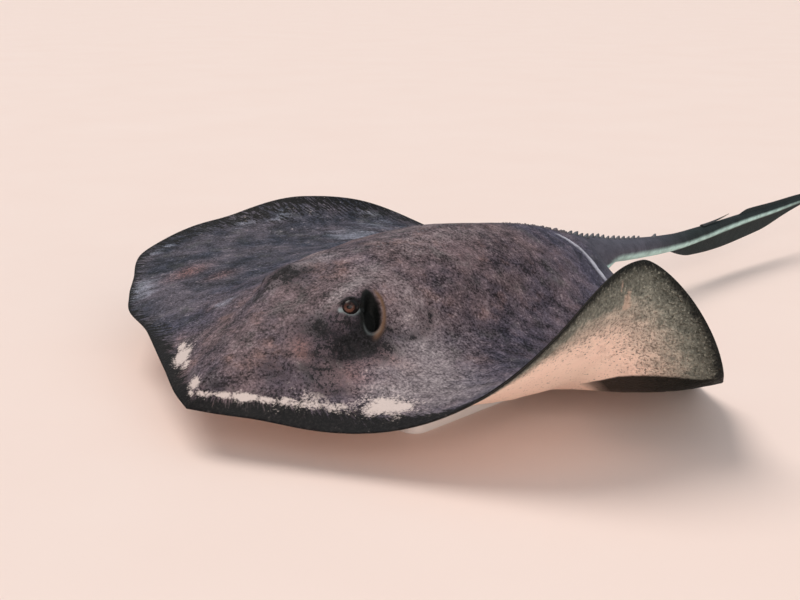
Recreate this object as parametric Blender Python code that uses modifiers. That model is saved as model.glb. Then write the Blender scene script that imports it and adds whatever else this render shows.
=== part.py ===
# A swimming southern stingray as a life-size still model on a display stand.
# Metres, +Z up. The nose faces -Y, the animal's left wing lies towards +X, and the
# origin is the centre of the underside of the stand's base plate.
#
# The disc is one thin sheet, cut to a flat outline and bent across the span, with a
# thickness above and below it. Each part of the body is a block of cells of one grid
# on that sheet, so neighbours share their cut, less a fine gap.

import math

import bmesh
import bpy
import numpy as np
from mathutils import Euler, Matrix, Vector

# ---------------------------------------------------------------- driving dimensions

GAP = 0.0003                    # between pieces that touch
LIFT = 0.0850                   # body frame's zero plane above the floor, at the nose
NOSE_TO_ORIGIN = 0.400          # nose tip ahead of the stand's centre
PITCH = math.radians(-4.06)     # about X: the tail end lies lower than the nose end
BANK = math.radians(4.43)       # about Y: the left wing is the low one

# Flat outline of one wing: half width and distance behind the nose tip
OUTLINE = (
    (0.000, 0.000), (0.030, 0.009), (0.100, 0.040), (0.200, 0.086), (0.300, 0.134),
    (0.400, 0.193), (0.461, 0.248), (0.491, 0.298), (0.500, 0.343), (0.496, 0.383),
    (0.462, 0.448), (0.391, 0.557), (0.306, 0.657), (0.220, 0.741), (0.143, 0.795),
    (0.085, 0.813), (0.052, 0.807), (0.036, 0.779),
)
ROOT_FRONT, ROOT_REAR = 0.030, 0.779    # ends of the spine line the wings fan out from

# The right wing's margin is a little wavy: shares of its span by which it is drawn in
WAVE_T = (0.000, 0.100, 0.180, 0.250, 0.300, 0.355, 0.420, 0.470, 1.000)
WAVE = (0.000, 0.025, 0.036, -0.030, 0.006, 0.028, -0.012, 0.000, 0.000)

# Sheet height along the spine, and how it bends across the span at each station
SPINE_Y = (0.00, 0.20, 0.40, 0.60, 0.84)
SPINE_Z = (-0.030, 0.051, 0.084, 0.095, 0.045)
SLOPE_Y = (0.00, 0.25, 0.50, 0.84)
SLOPE = {1: (-8.5, -17.0, -24.8, -21.1), -1: (-7.2, -7.0, -6.7, -9.2)}
CURL_Y = (0.00, 0.12, 0.22, 0.32, 0.42, 0.54, 0.68, 0.84)
CURL = {1: (116, 120, 120, 118, 67, 63, -12, -29), -1: (-47, -22, -4, 2, 10, 38, 67, 67)}
CURL_START = 0.118              # span at which the curl begins
CURL_SPAN = 0.382               # from there to the widest wing tip
CURL_POWER = 1.3
SHOULDER = 0.10                 # span over which the slope comes in

# Thickness: flesh above and below the sheet
EDGE = 0.0016                   # half thickness of the wing's rim
WING_ABOVE, WING_BELOW = 0.011, 0.008
BODY_Y = (0.00, 0.10, 0.18, 0.28, 0.40, 0.54, 0.67, 0.78)
BODY_ABOVE = (0.006, 0.026, 0.043, 0.054, 0.056, 0.042, 0.031, 0.036)
BODY_BELOW = (0.002, 0.010, 0.016, 0.022, 0.026, 0.024, 0.016, 0.006)
BODY_WIDTH = (0.040, 0.085, 0.105, 0.120, 0.130, 0.110, 0.075, 0.040)
MUSCLE_X, MUSCLE_Y = 0.235, 0.300      # flight muscle, fullest under the middle of each wing
MUSCLE_WIDE, MUSCLE_LONG, MUSCLE_DEEP = 0.105, 0.125, 0.0275

# Eyes and spiracles
EYE_AT = {1: (0.0700, 0.1866, 0.0886), -1: (0.0725, 0.1850, 0.0800)}     # right eye drawn in a little
EYE_RADIUS = 0.0118
BROW_X, BROW_Y = 0.062, 0.196
BROW_HEIGHT, BROW_WIDE, BROW_LONG = 0.015, 0.027, 0.038
SPIRACLE_SPAN, SPIRACLE_Y = 0.0840, 0.2045
SPIRACLE_HALF = (0.0205, 0.0105, 0.0130)    # half length, half width, depth
SPIRACLE_TURN = math.radians(37)            # its outer end lies further forward
SPIRACLE_TILT = math.radians(38)            # and lower

# Tail: its axis and half sizes at stations behind the nose
TAIL_Y = (0.779, 0.84, 0.90, 1.00, 1.05, 1.14, 1.22, 1.30, 1.40, 1.52, 1.80, 2.20)
TAIL_Z = (0.080, 0.080, 0.077, 0.0745, 0.075, 0.082, 0.090, 0.099, 0.109, 0.124, 0.140, 0.132)
TAIL_X = (0.0, 0.0, 0.0, 0.0, 0.0, 0.0, 0.0, 0.001, 0.003, 0.008, 0.022, -0.020)
TAIL_TALL = (0.0260, 0.0200, 0.0180, 0.0155, 0.0145, 0.0130, 0.0118, 0.0105, 0.0090,
             0.0074, 0.0042, 0.0012)
TAIL_WIDE = (0.0360, 0.0290, 0.0250, 0.0195, 0.0175, 0.0150, 0.0130, 0.0112, 0.0095,
             0.0076, 0.0042, 0.0012)
TAIL_CUTS = (0.779, 1.020, 1.290, 1.640, 2.200)
TAIL_NAMES = ("tail_base", "tail_middle", "tail_whip_front", "tail_whip_rear")
TAIL_BLEND = 0.075              # length over which the body's end turns into an oval
TAIL_SIDES = {"tail_base": 16, "tail_middle": 16, "tail_whip_front": 12, "tail_whip_rear": 8}
TAIL_STEP = 0.030               # between the tail's cross-sections

FINFOLD_Y = (1.040, 1.120, 1.250, 1.360, 1.450, 1.540)
FINFOLD_DEEP = (0.0015, 0.0230, 0.0310, 0.0270, 0.0130, 0.0015)
KEEL_Y = (1.270, 1.310, 1.400, 1.520, 1.630)
KEEL_TALL = (0.0012, 0.0080, 0.0070, 0.0045, 0.0012)
FOLD_ROOT, FOLD_EDGE = 0.0030, 0.0012   # thickness of both folds
FOLD_STATIONS = 17

STING_Y0, STING_Y1 = 1.145, 1.240
STING_WIDE, STING_THICK, STING_RISE = 0.0075, 0.0036, 0.0130

THORN_Y = [0.735 + 0.0155 * i for i in range(14)] + [0.987]
THORN_TALL, THORN_FOOT = 0.0050, 0.0042

# Pelvic fins: the flat lobes that show behind the disc, under its rear corners
PELVIC_FRONT, PELVIC_REAR = 0.715, 0.868
PELVIC_IN, PELVIC_OUT = 0.034, 0.104
PELVIC_THICK = 0.0060

# Stand
BASE_X, BASE_Y, BASE_Z, BASE_CORNER = 0.320, 0.360, 0.012, 0.020
ROD_RADIUS, ROD_DEPTH = 0.008, 0.018    # depth of the rod's seat in the belly
ROD_YS = (-0.070, 0.130)

# Grid over the disc
LINES = 50                      # fan lines from the nose round to the tail, each side
LINE_U, LINE_T = (0.0, 0.30, 0.70, 1.0), (0.0, 0.34, 0.62, 1.0)   # closer at the wing tip
CENTRE_CELLS, WING_CELLS = 4, 8
HEAD_FULL, TRUNK_FULL = 3, 48   # before and after these lines the cut runs to the margin
HEAD_LAST = 14                  # line at which head and trunk part
CUT_T = (0.0, 0.058, 0.15, 0.35, 0.60, 0.80, 0.90, 0.96, 1.0)
CUT_Q = (0.70, 0.62, 0.42, 0.30, 0.29, 0.38, 0.50, 0.66, 0.80)

COLLECTION = "stingray"


# ---------------------------------------------------------------- curves and the sheet

def smooth(xs, ys):
    """A smooth curve through the points that never overshoots them."""
    xs, ys = np.asarray(xs, float), np.asarray(ys, float)
    h, d = np.diff(xs), np.diff(ys) / np.diff(xs)
    m = np.zeros(len(xs))
    m[0], m[-1] = d[0], d[-1]
    for i in range(1, len(xs) - 1):
        if d[i - 1] * d[i] > 0:
            w1, w2 = 2 * h[i] + h[i - 1], h[i] + 2 * h[i - 1]
            m[i] = (w1 + w2) / (w1 / d[i - 1] + w2 / d[i])

    def value(x):
        x = np.clip(np.asarray(x, float), xs[0], xs[-1])
        i = np.clip(np.searchsorted(xs, x, side="right") - 1, 0, len(h) - 1)
        u = (x - xs[i]) / h[i]
        rise = ys[i] * (1 + 2 * u) * (1 - u) ** 2 + ys[i + 1] * u * u * (3 - 2 * u)
        return rise + h[i] * (m[i] * u * (1 - u) ** 2 - m[i + 1] * u * u * (1 - u))

    return value


def outline(t):
    """Flat margin of one wing, t from 0 at the nose to 1 at the tail."""
    pts = np.asarray(OUTLINE, float)
    run = np.r_[0, np.cumsum(np.hypot(*np.diff(pts, axis=0).T))]
    run /= run[-1]
    tangent = np.gradient(pts, run, axis=0)
    i = np.clip(np.searchsorted(run, t, side="right") - 1, 0, len(run) - 2)
    h = (run[i + 1] - run[i])
    u = (t - run[i]) / h
    a, b = pts[i].T, pts[i + 1].T
    ta, tb = tangent[i].T * h, tangent[i + 1].T * h
    x, y = (a * (1 + 2 * u) * (1 - u) ** 2 + b * u * u * (3 - 2 * u)
            + ta * u * (1 - u) ** 2 - tb * u * u * (1 - u))
    return np.maximum(x, 0.0), y


spine_height = smooth(SPINE_Y, SPINE_Z)
slope_at = {side: smooth(SLOPE_Y, np.radians(SLOPE[side])) for side in SLOPE}
curl_at = {side: smooth(CURL_Y, np.radians(CURL[side])) for side in CURL}
body_above, body_below = smooth(BODY_Y, BODY_ABOVE), smooth(BODY_Y, BODY_BELOW)
body_width = smooth(BODY_Y, BODY_WIDTH)
tail_x, tail_z = smooth(TAIL_Y, TAIL_X), smooth(TAIL_Y, TAIL_Z)
tail_tall, tail_wide = smooth(TAIL_Y, TAIL_TALL), smooth(TAIL_Y, TAIL_WIDE)


def bend(side, span, y):
    """Angle of the sheet at a span, seen from behind."""
    curl = np.clip(span - CURL_START, 0, None) ** CURL_POWER / CURL_SPAN ** CURL_POWER
    return slope_at[side](y) * np.clip(span / SHOULDER, 0, 1) + curl_at[side](y) * curl


def sheet(side, span, y, steps=40):
    """Point of the bent sheet and the sheet's angle there, in the body's frame."""
    parts = np.linspace(0, 1, steps + 1)[:, None] * span
    angle = bend(side, parts, y)
    ds = span / steps
    x = (np.cos(angle[1:]) + np.cos(angle[:-1])).sum(0) / 2 * ds
    z = (np.sin(angle[1:]) + np.sin(angle[:-1])).sum(0) / 2 * ds
    return side * x, spine_height(y) + z, angle[-1]


def skin_point(side, span, y, q, above):
    """Point of the upper (above) or lower skin; q is 0 on the spine and 1 on the margin."""
    x, z, angle = sheet(side, span, y)
    hump = np.exp(-(span / body_width(y)) ** 2)
    taper = 1 - q ** 3
    if above:
        body = WING_ABOVE * (1 - q) + body_above(y) * hump
        brow = ((span - BROW_X) / BROW_WIDE) ** 2 + ((y - BROW_Y) / BROW_LONG) ** 2
        offset = EDGE + taper * body + BROW_HEIGHT * np.exp(-brow)
    else:
        muscle = ((span - MUSCLE_X) / MUSCLE_WIDE) ** 2 + ((y - MUSCLE_Y) / MUSCLE_LONG) ** 2
        body = WING_BELOW * (1 - q) + body_below(y) * hump + MUSCLE_DEEP * np.exp(-muscle)
        offset = -(EDGE + taper * body)
    return np.stack([x - side * np.sin(angle) * offset, y, z + np.cos(angle) * offset], -1)


ATTITUDE = (Matrix.Translation((0, -NOSE_TO_ORIGIN, LIFT))
            @ Euler((PITCH, 0, 0)).to_matrix().to_4x4()
            @ Euler((0, BANK, 0)).to_matrix().to_4x4())


def placed(points):
    """Body frame to the model's frame."""
    turn = np.array(ATTITUDE)
    return np.asarray(points) @ turn[:3, :3].T + turn[:3, 3]


# ---------------------------------------------------------------- objects and materials

def material(name, colour, roughness, metallic=0.0):
    mat = bpy.data.materials.new(name)
    mat.use_nodes = True
    shader = mat.node_tree.nodes["Principled BSDF"]
    shader.inputs["Base Color"].default_value = (*colour, 1.0)
    shader.inputs["Roughness"].default_value = roughness
    shader.inputs["Metallic"].default_value = metallic
    return mat


def add_object(name, mesh, mat, group):
    obj = bpy.data.objects.new(name, mesh)
    mesh.materials.append(mat)
    group.objects.link(obj)
    return obj


def mesh_of(name, points, faces):
    """A closed mesh with its faces pointing out."""
    bm = bmesh.new()
    corners = [bm.verts.new(p) for p in points]
    for face in faces:
        ring = [corners[i] for i in face]
        bm.faces.new(ring)
    bmesh.ops.remove_doubles(bm, verts=bm.verts, dist=1e-6)
    bmesh.ops.triangulate(bm, faces=bm.faces)
    bmesh.ops.recalc_face_normals(bm, faces=bm.faces)
    mesh = bpy.data.meshes.new(name)
    bm.to_mesh(mesh)
    bm.free()
    mesh.shade_smooth()
    mesh.set_sharp_from_angle(angle=math.radians(40))
    return mesh


def loft(name, rings):
    """Rings of equal length joined in order, with both ends capped."""
    count = len(rings[0])
    points = np.concatenate(rings)
    faces = [tuple(range(count))]
    for r in range(len(rings) - 1):
        for k in range(count):
            a, b = r * count + k, r * count + (k + 1) % count
            faces.append((a, b, b + count, a + count))
    faces.append(tuple(range(len(points) - count, len(points))))
    return mesh_of(name, points, faces)


def apply_boolean(target, cutters, operation):
    for cutter in cutters:
        mod = target.modifiers.new(operation.lower(), "BOOLEAN")
        mod.operation = operation
        mod.object = cutter


def hide_cutter(obj, tools):
    for group in list(obj.users_collection):
        group.objects.unlink(obj)
    tools.objects.link(obj)
    obj.hide_render = True
    obj.display_type = "WIRE"


# ---------------------------------------------------------------- the disc

def disc_grid():
    """Fan grid over both wings: columns run from the right margin to the left one."""
    t = smooth(LINE_U, LINE_T)(np.linspace(0, 1, LINES + 1))
    margin_x, margin_y = outline(t)
    root = ROOT_FRONT + (ROOT_REAR - ROOT_FRONT) * t ** 0.95
    cut = smooth(CUT_T, CUT_Q)(t)
    inner = np.linspace(0, 1, CENTRE_CELLS + 1)[None] * cut[:, None]
    outer = cut[:, None] + (1 - cut[:, None]) * np.linspace(0, 1, WING_CELLS + 1)[None, 1:]
    half = np.concatenate([inner, outer], 1)
    q = np.concatenate([half[:, :0:-1], half], 1)
    side = np.where(np.arange(q.shape[1]) < half.shape[1] - 1, -1, 1)
    drawn_in = np.where(side[None] < 0, smooth(WAVE_T, WAVE)(t)[:, None], 0.0)
    span = q * margin_x[:, None] * (1 - drawn_in)
    y = root[:, None] + q * (margin_y - root)[:, None]
    return q, span, y, side


def disc_block(name, grid, inside):
    """Closed mesh of the grid cells for which inside(line, column) is true."""
    q, span, y, side = grid
    lines, columns = q.shape[0] - 1, q.shape[1] - 1
    mask = np.array([[inside(i, j) for j in range(columns)] for i in range(lines)])
    signed = span * side[None]

    def cell(i, j):
        return 0 <= i < lines and 0 <= j < columns and mask[i, j]

    # corners on a cut are drawn in by half the gap, towards this block's own cells
    index, params = {}, []
    for i in range(lines + 1):
        for j in range(columns + 1):
            around = [(i - 1, j - 1), (i - 1, j), (i, j - 1), (i, j)]
            own = [c for c in around if cell(*c)]
            if not own:
                continue
            exists = [c for c in around if 0 <= c[0] < lines and 0 <= c[1] < columns]
            s, yy = signed[i, j], y[i, j]
            if len(own) < len(exists):
                centre = np.mean([[signed[a:a + 2, b:b + 2].mean(), y[a:a + 2, b:b + 2].mean()]
                                  for a, b in own], axis=0)
                step = centre - (s, yy)
                s, yy = (s, yy) + step / np.linalg.norm(step) * GAP * 0.6
            index[i, j] = len(params)
            params.append((side[j], abs(s), yy, q[i, j]))
    params = np.array(params)
    count = len(params)
    points = np.zeros((2 * count, 3))
    for which in (-1, 1):
        rows = np.where(params[:, 0] == which)[0]
        for layer, above in ((0, True), (count, False)):
            points[rows + layer] = skin_point(which, *params[rows, 1:].T, above)
    faces = []
    for i in range(lines):
        for j in range(columns):
            if not mask[i, j]:
                continue
            ring = [index[i, j], index[i, j + 1], index[i + 1, j + 1], index[i + 1, j]]
            faces.append(tuple(ring))
            faces.append(tuple(k + count for k in reversed(ring)))
            walls = (((i, j), (i, j + 1), (i - 1, j), i == 0),
                     ((i, j + 1), (i + 1, j + 1), (i, j + 1), False),
                     ((i + 1, j + 1), (i + 1, j), (i + 1, j), False),
                     ((i + 1, j), (i, j), (i, j - 1), False))
            for a, b, other, nose_seam in walls:
                if cell(*other) or nose_seam:
                    continue
                a, b = index[a], index[b]
                faces.append((b, a, a + count, b + count))
    return mesh_of(name, placed(points), faces)


def wing_column(j):
    """Cells between the margin and the central cut: -1 right, 1 left, 0 centre."""
    if j < WING_CELLS:
        return -1
    return 1 if j >= WING_CELLS + 2 * CENTRE_CELLS else 0


def build_disc(group, mats):
    grid = disc_grid()

    def head(i, j):
        return i < HEAD_FULL or (i < HEAD_LAST and wing_column(j) == 0)

    def trunk(i, j):
        return i >= TRUNK_FULL or (i >= HEAD_LAST and wing_column(j) == 0)

    def wing(side):
        return lambda i, j: HEAD_FULL <= i < TRUNK_FULL and wing_column(j) == side

    blocks = (("head", head), ("trunk", trunk),
              ("pectoral_fin_left", wing(1)), ("pectoral_fin_right", wing(-1)))
    made = {}
    for name, inside in blocks:
        made[name] = add_object(name, disc_block(name, grid, inside), mats["skin"], group)
    return made


# ---------------------------------------------------------------- tail, folds and sting

def oval(y, sides):
    """One cross-section of the tail, with flats at its top and bottom."""
    angle = (np.arange(sides) + 0.5) * 2 * math.pi / sides + math.pi / 2
    x = tail_x(y) + tail_wide(y) * np.cos(angle)
    z = tail_z(y) + tail_tall(y) * np.sin(angle)
    return np.stack([x, np.full(sides, y), z], -1)


def body_end(sides):
    """The disc's rear end, sampled at the same angles as the tail's ovals."""
    q = np.linspace(0, 1, 60)
    reach = OUTLINE[-1][0]
    ring = []
    for side, above in ((-1, True), (1, True), (1, False), (-1, False)):
        pts = skin_point(side, q * reach, np.full(60, ROOT_REAR), q, above)
        forward = (side == 1) == above
        ring.append(pts if forward else pts[::-1])
    ring = np.concatenate(ring)
    centre = np.array([tail_x(ROOT_REAR), ROOT_REAR, tail_z(ROOT_REAR)])
    scale = np.array([tail_wide(ROOT_REAR), 1, tail_tall(ROOT_REAR)])
    local = (ring - centre) / scale
    angles = np.unwrap(np.arctan2(local[:, 2], local[:, 0]))
    wanted = (np.arange(sides) + 0.5) * 2 * math.pi / sides + math.pi / 2
    out = []
    for w in wanted:
        gap = np.abs((angles - w + math.pi) % (2 * math.pi) - math.pi)
        out.append(ring[gap.argmin()])
    return np.array(out)


def tail_ring(y, sides):
    """Body end at the root, blending into the oval."""
    share = np.clip((y - ROOT_REAR) / TAIL_BLEND, 0, 1)
    share = share * share * (3 - 2 * share)
    start = body_end(sides)
    start[:, 1] = y
    return start * (1 - share) + oval(y, sides) * share


def build_tail(group, mats):
    made = {}
    for name, y0, y1 in zip(TAIL_NAMES, TAIL_CUTS[:-1], TAIL_CUTS[1:]):
        count = max(8, round((y1 - y0) / TAIL_STEP))
        stations = np.linspace(y0 + GAP / 2, y1 - GAP / 2, count + 1)
        if y0 == ROOT_REAR:
            stations[0] = y0 + GAP
        rings = [placed(tail_ring(y, TAIL_SIDES[name])) for y in stations]
        made[name] = add_object(name, loft(name, rings), mats["skin"], group)
    return made


def fold(name, stations, sizes, upward, group, mat):
    """A thin blade along the tail's upper or lower line."""
    size_at = smooth(stations, sizes)
    sign = 1 if upward else -1
    rings = []
    for y in np.linspace(stations[0], stations[-1], FOLD_STATIONS):
        root = tail_z(y) + sign * (tail_tall(y) + GAP)
        tip = root + sign * size_at(y)
        rings.append(placed([(tail_x(y) + w / 2, y, z) for w, z in
                             ((-FOLD_ROOT, root), (FOLD_ROOT, root),
                              (FOLD_EDGE, tip), (-FOLD_EDGE, tip))]))
    return add_object(name, loft(name, rings), mat, group)


def build_sting(group, mat):
    """The barb: a flat tapered blade that lies on the tail and lifts at its tip."""
    rings = []
    for u in np.linspace(0, 1, 9):
        y = STING_Y0 + (STING_Y1 - STING_Y0) * u
        low = tail_z(y) + tail_tall(y) + GAP + STING_RISE * u ** 1.6
        wide = STING_WIDE / 2 * (1 - u) ** 0.6 + 0.0006
        thick = STING_THICK * (1 - 0.75 * u)
        rings.append(placed([(tail_x(y) + a * wide, y, low + b * thick) for a, b in
                             ((-0.5, 0), (0.5, 0), (1, 0.4), (0.4, 1), (-0.4, 1), (-1, 0.4))]))
    return add_object("sting", loft("sting", rings), mat, group)


def ridge_point(y):
    """Top of the back or of the tail on the midline."""
    if y <= ROOT_REAR:
        line = np.array([y])
        zero = np.array([0.0])
        return skin_point(1, zero, line, zero, True)[0]
    ring = tail_ring(y, TAIL_SIDES["tail_base"])
    return np.array([tail_x(y), y, ring[[0, -1], 2].mean()])


def build_thorns(made, tools):
    """Thorns joined to the back and to the tail's root."""
    for y in THORN_Y:
        foot = Vector(placed(ridge_point(y)))
        bpy.ops.mesh.primitive_cone_add(vertices=6, radius1=THORN_FOOT, radius2=0.0006,
                                        depth=THORN_TALL * 2, location=foot)
        cone = bpy.context.active_object
        cone.name = "thorn_cutter"
        cone.rotation_euler = (math.radians(-25), 0, 0)
        hide_cutter(cone, tools)
        near_seam = abs(y - ROOT_REAR) < THORN_FOOT + 0.002
        if near_seam:
            bpy.data.objects.remove(cone)
            continue
        host = made["trunk"] if y < ROOT_REAR else made["tail_base"]
        apply_boolean(host, [cone], "UNION")


# ---------------------------------------------------------------- pelvic fins

def build_pelvic_fin(side, group, mat):
    """A rounded lobe lying just under the disc's rear corner."""
    long_cells, wide_cells = 8, 4
    u = np.linspace(0, 1, long_cells + 1)
    v = np.linspace(0, 1, wide_cells + 1)
    y = PELVIC_FRONT + (PELVIC_REAR - PELVIC_FRONT) * u[:, None] * (1 - 0.10 * v[None] ** 2)
    reach = (PELVIC_OUT - PELVIC_IN) * np.sin(math.pi * (0.08 + 0.86 * u)) ** 0.75
    span = PELVIC_IN + reach[:, None] * v[None]
    y, span = y.ravel(), span.ravel()
    x, z, angle = sheet(side, span, np.minimum(y, SPINE_Y[-1]))
    hump = np.exp(-(span / body_width(y)) ** 2)
    under = EDGE + WING_BELOW * 0.9 + body_below(y) * hump
    rim = np.clip(np.minimum(v[None], 1) * np.ones((long_cells + 1, 1)), 0, 1).ravel()
    thick = PELVIC_THICK * (1 - 0.7 * rim ** 2)
    top = np.stack([x, y, z - under - 2 * GAP], -1)
    low = top - np.array([0, 0, 1]) * thick[:, None]
    count = len(top)
    stride = wide_cells + 1
    faces = []
    for i in range(long_cells):
        for j in range(wide_cells):
            ring = [i * stride + j, i * stride + j + 1, (i + 1) * stride + j + 1,
                    (i + 1) * stride + j]
            faces.append(tuple(ring))
            faces.append(tuple(k + count for k in reversed(ring)))
    border = ([i * stride for i in range(long_cells + 1)]
              + [long_cells * stride + j for j in range(1, stride)]
              + [i * stride + wide_cells for i in range(long_cells - 1, -1, -1)]
              + [j for j in range(wide_cells - 1, 0, -1)])
    for a, b in zip(border, border[1:] + border[:1]):
        faces.append((a, b, b + count, a + count))
    name = "pelvic_fin_left" if side == 1 else "pelvic_fin_right"
    return add_object(name, mesh_of(name, placed(np.concatenate([top, low])), faces), mat, group)


# ---------------------------------------------------------------- eyes and spiracles

def eye_centre(side):
    span, y, z = EYE_AT[side]
    return Vector(placed([side * span, y, z]))


def build_eyes(made, group, tools, mat):
    for side, name in ((1, "eye_left"), (-1, "eye_right")):
        mesh = bpy.data.meshes.new(name)
        bm = bmesh.new()
        bmesh.ops.create_uvsphere(bm, u_segments=14, v_segments=8, radius=EYE_RADIUS)
        bm.transform(Matrix.Translation(eye_centre(side)))
        bmesh.ops.triangulate(bm, faces=bm.faces)
        bm.to_mesh(mesh)
        bm.free()
        mesh.shade_smooth()
        add_object(name, mesh, mat, group)

        bpy.ops.mesh.primitive_uv_sphere_add(segments=14, ring_count=8, location=eye_centre(side),
                                             radius=EYE_RADIUS + 2 * GAP)
        socket = bpy.context.active_object
        socket.name = name + "_socket"
        hide_cutter(socket, tools)

        span = np.array([SPIRACLE_SPAN])
        spot = skin_point(side, span, np.array([SPIRACLE_Y]), span * 0 + 0.2, True)[0]
        bpy.ops.mesh.primitive_uv_sphere_add(segments=12, ring_count=8, radius=1.0,
                                             location=Vector(placed(spot)))
        spiracle = bpy.context.active_object
        spiracle.name = name + "_spiracle"
        spiracle.scale = SPIRACLE_HALF
        spiracle.rotation_euler = (0, side * SPIRACLE_TILT, -side * SPIRACLE_TURN)
        hide_cutter(spiracle, tools)
        apply_boolean(made["head"], [socket, spiracle], "DIFFERENCE")


# ---------------------------------------------------------------- the stand

def belly_height(y):
    """Height of the belly above the floor at the foot of a rod on the midline."""
    stations = np.linspace(0.2, 0.7, 400)
    zero = np.zeros_like(stations)
    belly = placed(skin_point(1, zero, stations, zero, False))
    return float(np.interp(y, belly[:, 1], belly[:, 2]))


def build_stand(made, group, tools, mats):
    bpy.ops.mesh.primitive_cube_add(size=1, location=(0, 0, BASE_Z / 2))
    base = bpy.context.active_object
    base.name = "stand_base"
    base.data.name = "stand_base"
    base.data.transform(Matrix.Diagonal((BASE_X, BASE_Y, BASE_Z, 1)))
    base.data.materials.append(mats["base"])
    for old in list(base.users_collection):
        old.objects.unlink(base)
    group.objects.link(base)
    corners = base.data.attributes.new("bevel_weight_edge", "FLOAT", "EDGE")
    for edge in base.data.edges:
        a, b = (base.data.vertices[i].co for i in edge.vertices)
        corners.data[edge.index].value = 1.0 if abs(a.z - b.z) > BASE_Z / 2 else 0.0
    round_off = base.modifiers.new("corners", "BEVEL")
    round_off.limit_method = "WEIGHT"
    round_off.width, round_off.segments = BASE_CORNER, 6

    for name, y in zip(("stand_rod_front", "stand_rod_rear"), ROD_YS):
        top = belly_height(y) + ROD_DEPTH
        bottom = BASE_Z + GAP
        for radius, low, high, label in ((ROD_RADIUS, bottom, top, name),
                                         (ROD_RADIUS + GAP, 0.03, top + GAP, name + "_seat")):
            bpy.ops.mesh.primitive_cylinder_add(vertices=24, radius=radius, depth=high - low,
                                                location=(0, y, (low + high) / 2))
            obj = bpy.context.active_object
            obj.name = label
            if label == name:
                obj.data.materials.append(mats["rod"])
                obj.data.name = name
                for old in list(obj.users_collection):
                    old.objects.unlink(obj)
                group.objects.link(obj)
            else:
                hide_cutter(obj, tools)
                apply_boolean(made["trunk"], [obj], "DIFFERENCE")


# ---------------------------------------------------------------- assembly

for old in list(bpy.data.objects):
    bpy.data.objects.remove(old)

stingray = bpy.data.collections.new(COLLECTION)
cutters = bpy.data.collections.new("cutters")
for collection in (stingray, cutters):
    bpy.context.scene.collection.children.link(collection)

materials = {
    "skin": material("slate skin", (0.075, 0.068, 0.085), 0.55),
    "eye": material("amber eye", (0.060, 0.030, 0.012), 0.15),
    "sting": material("bone sting", (0.42, 0.38, 0.30), 0.45),
    "fold": material("dark fin fold", (0.020, 0.024, 0.026), 0.55),
    "base": material("white painted steel", (0.72, 0.70, 0.68), 0.50),
    "rod": material("brushed steel rod", (0.55, 0.55, 0.56), 0.35, 1.0),
}

nodes = build_disc(stingray, materials)
nodes.update(build_tail(stingray, materials))
build_eyes(nodes, stingray, cutters, materials["eye"])
build_thorns(nodes, cutters)
fold("tail_finfold", FINFOLD_Y, FINFOLD_DEEP, False, stingray, materials["fold"])
fold("tail_keel", KEEL_Y, KEEL_TALL, True, stingray, materials["fold"])
build_sting(stingray, materials["sting"])
for wing_side in (1, -1):
    build_pelvic_fin(wing_side, stingray, materials["skin"])
build_stand(nodes, stingray, cutters, materials)
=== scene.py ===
# A southern stingray, life size, held on a display stand as if gliding over the sand.
# Metres, +Z up. The nose faces -Y and the left wing lies towards +X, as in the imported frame.
import math

import bmesh
import bpy
import numpy as np
from mathutils import Euler, Matrix, Vector, noise


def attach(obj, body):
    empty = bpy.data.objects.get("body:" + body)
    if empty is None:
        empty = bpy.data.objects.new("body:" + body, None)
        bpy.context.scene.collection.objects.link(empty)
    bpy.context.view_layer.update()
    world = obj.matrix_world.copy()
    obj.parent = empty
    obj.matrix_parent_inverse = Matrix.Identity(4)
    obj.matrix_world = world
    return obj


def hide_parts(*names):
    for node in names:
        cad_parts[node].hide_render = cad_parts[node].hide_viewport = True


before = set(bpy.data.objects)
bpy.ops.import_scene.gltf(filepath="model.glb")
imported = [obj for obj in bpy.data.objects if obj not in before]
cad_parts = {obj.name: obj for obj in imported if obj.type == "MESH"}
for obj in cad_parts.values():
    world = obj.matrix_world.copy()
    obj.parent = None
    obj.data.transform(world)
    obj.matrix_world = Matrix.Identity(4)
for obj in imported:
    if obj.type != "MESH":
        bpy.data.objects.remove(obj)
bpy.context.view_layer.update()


# ---------------------------------------------------------------------------- the viewpoint
# The animal is seen from ahead of its left wing, from a little above its back,
# with a slightly long lens.
AIM = Vector((0.0048, -0.0422, 0.1175))
VIEW_ROUND, VIEW_UP, VIEW_REACH = math.radians(43.19), math.radians(15.14), 1.7213

towards_camera = Vector((math.sin(VIEW_ROUND) * math.cos(VIEW_UP),
                         -math.cos(VIEW_ROUND) * math.cos(VIEW_UP), math.sin(VIEW_UP)))
camera = bpy.data.objects.new("camera", bpy.data.cameras.new("camera"))
camera.data.sensor_width, camera.data.lens = 36.0, 56.98
camera.location = AIM + towards_camera * VIEW_REACH
camera.rotation_euler = towards_camera.to_track_quat("Z", "Y").to_euler()
bpy.context.scene.collection.objects.link(camera)
bpy.context.scene.camera = camera


# ---------------------------------------------------------------------------- the hide
# The ray's skin: one unbroken, scaleless hide from the nose to the tail's tip, over the head,
# the wings, the trunk, the pelvic fins and the tail's folds. It is the same bent sheet as the
# frame's solids, with their outline and thickness, but drawn finely, with the face and belly cut in.

# How the body lies in the model
LIFT, NOSE_TO_ORIGIN = 0.0850, 0.400
PITCH, BANK = math.radians(-4.06), math.radians(4.43)

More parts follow.
